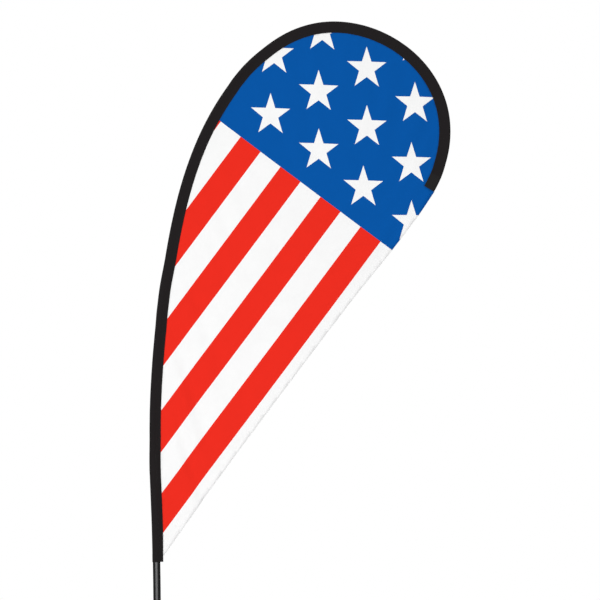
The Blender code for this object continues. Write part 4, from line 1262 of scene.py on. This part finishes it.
# === tension tab ===
def tension_tab():
    """Webbing tab with a box stitch, its eyelet, and the peg it hooks on."""
    low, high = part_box("tension_tab")
    centre_x = (low.x + high.x) / 2
    half = (high.x - low.x) / 2
    rows, columns = 60, 13
    verts = []
    uvs = []
    for i in range(rows + 1):
        z = low.z + (high.z - low.z) * i / rows
        below = max(0.0, half - (z - low.z))
        width = max(math.sqrt(max(half * half - below * below, 0.0)), 0.0015)
        bow = 0.0005 * math.sin(math.pi * i / rows)
        for level, inward in ((low.y, 1.0), (high.y, -1.0)):
            for j in range(columns):
                x = centre_x + width * inward * (2.0 * j / (columns - 1) - 1.0)
                round_off = 0.00025 * inward if j in (0, columns - 1) else 0.0
                verts.append((x, level + round_off + bow, z))
                uvs.append((z, x))
    tab = add_mesh("webbing_tab", verts, bar_faces(rows + 1, 2 * columns), WEBBING, "pole",
                   "tension_tab", uvs, 50)
    stitch_low, stitch_high = SLEEVE_BOTTOM + 0.006, high.z - 0.004
    left, right = centre_x - half + 0.0025, centre_x + half - 0.0025
    route = ((left, stitch_low), (right, stitch_low), (right, stitch_high),
             (left, stitch_high), (left, stitch_low), (right, stitch_high),
             (right, stitch_low), (left, stitch_high))
    points = []
    for (ax, az), (bx, bz) in zip(route, route[1:]):
        for t in np.linspace(0.0, 1.0, 12)[:-1]:
            points.append((ax + (bx - ax) * t, high.y + 0.0006, az + (bz - az) * t))
    stitches = stitch_row("tab_box_stitch", points, [(0.0, 1.0, 0.0)] * len(points), 0.0032,
                          0.0025, 0.0003, BLACK_THREAD)
    low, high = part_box("tab_eyelet")
    middle = (low + high) / 2
    inner, barrel, outer = 0.0048, 0.0060, (high.x - low.x) / 2
    face = (high.y - low.y) / 2
    lip = face - 0.0006
    profile = [(inner, -face + 0.0003, 0.0004), (inner + 0.0012, -face - 0.0001, 0.0006),
               (outer - 0.0008, -face + 0.0001, 0.0006), (outer, -lip, 0.0002),
               (barrel, -lip, 0.0)]
    profile += [(r, -z, corner) for r, z, corner in reversed(profile)]
    eyelet = turned("eyelet_ring", profile, BRASS, "pole", "tab_eyelet", steps=48,
                    ring=True)
    eyelet.data.transform(Matrix.Translation((centre_x, middle.y, middle.z))
                          @ Matrix.Rotation(math.radians(90.0), 4, "X"))
    hook(middle.z)


def hook(height):
    """Riveted wire peg: straight out of the tube, then turned down."""
    radius, bend, drop = 0.0024, 0.0042, 0.010
    x = axis_point(height)[0]
    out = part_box("tab_hook")[1].y - radius
    centres = [Vector((x, TUBE_RADIUS - 0.004 + i * 0.0018, height)) for i in range(4)]
    for i in range(11):
        turn = math.radians(90.0 * i / 10)
        centres.append(Vector((x, out - bend + bend * math.sin(turn),
                               height - bend + bend * math.cos(turn))))
    for t in (0.5, 0.9):
        centres.append(Vector((x, out, height - bend - t * (drop - bend))))
    centres.append(Vector((x, out, height - drop + 0.0004)))
    side = Vector((1.0, 0.0, 0.0))
    ends = [centres[0]] + centres + [centres[-1]]
    normals = [side.cross((after - before).normalized())
               for before, after in zip(ends, ends[2:])]
    sweep("peg_hook", centres, [side] * len(centres), normals, (radius,), 20, ZINC, "pole",
          "tab_hook")


# === stage ===
def stage():
    ring = [(FLOOR_RADIUS * math.cos(a), FLOOR_RADIUS * math.sin(a), 0.0)
            for a in np.linspace(0.0, 2.0 * math.pi, 96, endpoint=False)]
    mesh = bpy.data.meshes.new("floor")
    mesh.from_pydata(ring, [], [tuple(range(len(ring)))])
    mesh.materials.append(pale_floor())
    floor = bpy.data.objects.new("floor", mesh)
    bpy.context.scene.collection.objects.link(floor)


def softbox(name, place, target, size, radiance):
    """A soft rectangular light of the given brightness, aimed at a point."""
    light = bpy.data.lights.new(name, "AREA")
    light.shape = "RECTANGLE"
    light.size, light.size_y = size
    light.energy = radiance * math.pi * size[0] * size[1]
    lamp = bpy.data.objects.new(name, light)
    bpy.context.scene.collection.objects.link(lamp)
    lamp.location = place
    aim = Vector(target) - Vector(place)
    lamp.rotation_euler = aim.to_track_quat("-Z", "Y").to_euler()
    lamp.visible_camera = False


def lights():
    """Soft studio light; the camera sees a white backdrop."""
    middle = (0.45, 0.0, 1.40)
    softbox("key", (-0.40, -5.0, 1.7), middle, (6.2, 4.4), 3.10)
    softbox("back", (1.0, 5.2, 2.2), middle, (5.0, 4.0), 2.6)
    softbox("top", (0.4, 0.0, 5.6), (0.4, 0.0, 0.0), (3.0, 3.0), 2.5)
    world = bpy.data.worlds.new("studio")
    bpy.context.scene.world = world
    world.use_nodes = True
    nodes = Nodes(world.node_tree)
    nodes.tree.nodes.clear()
    mix = nodes.node("ShaderNodeMixShader")
    nodes.feed(mix.inputs[0], nodes.node("ShaderNodeLightPath").outputs["Is Camera Ray"])
    for socket, level in zip(list(mix.inputs)[1:], (FILL_LEVEL, 1.0)):
        backdrop = nodes.node("ShaderNodeBackground")
        nodes.feed(backdrop.inputs[0], (level, level, level))
        nodes.feed(socket, backdrop.outputs[0])
    nodes.feed(nodes.node("ShaderNodeOutputWorld").inputs[0], mix.outputs[0])
    bpy.context.scene.view_settings.view_transform = "Standard"


def camera():
    data = bpy.data.cameras.new("camera")
    data.sensor_width = SENSOR
    data.lens = SENSOR * CAMERA_DISTANCE / VIEW_WIDTH
    data.clip_end = 100.0
    view = bpy.data.objects.new("camera", data)
    bpy.context.scene.collection.objects.link(view)
    view.location = (VIEW_CENTRE[0], -CAMERA_DISTANCE, VIEW_CENTRE[1])
    view.rotation_euler = (math.radians(90.0), 0.0, 0.0)
    bpy.context.scene.camera = view


camera()
cross_base()
base_tube()
sleeve()
flag_cloth()
tension_tab()
stage()
lights()
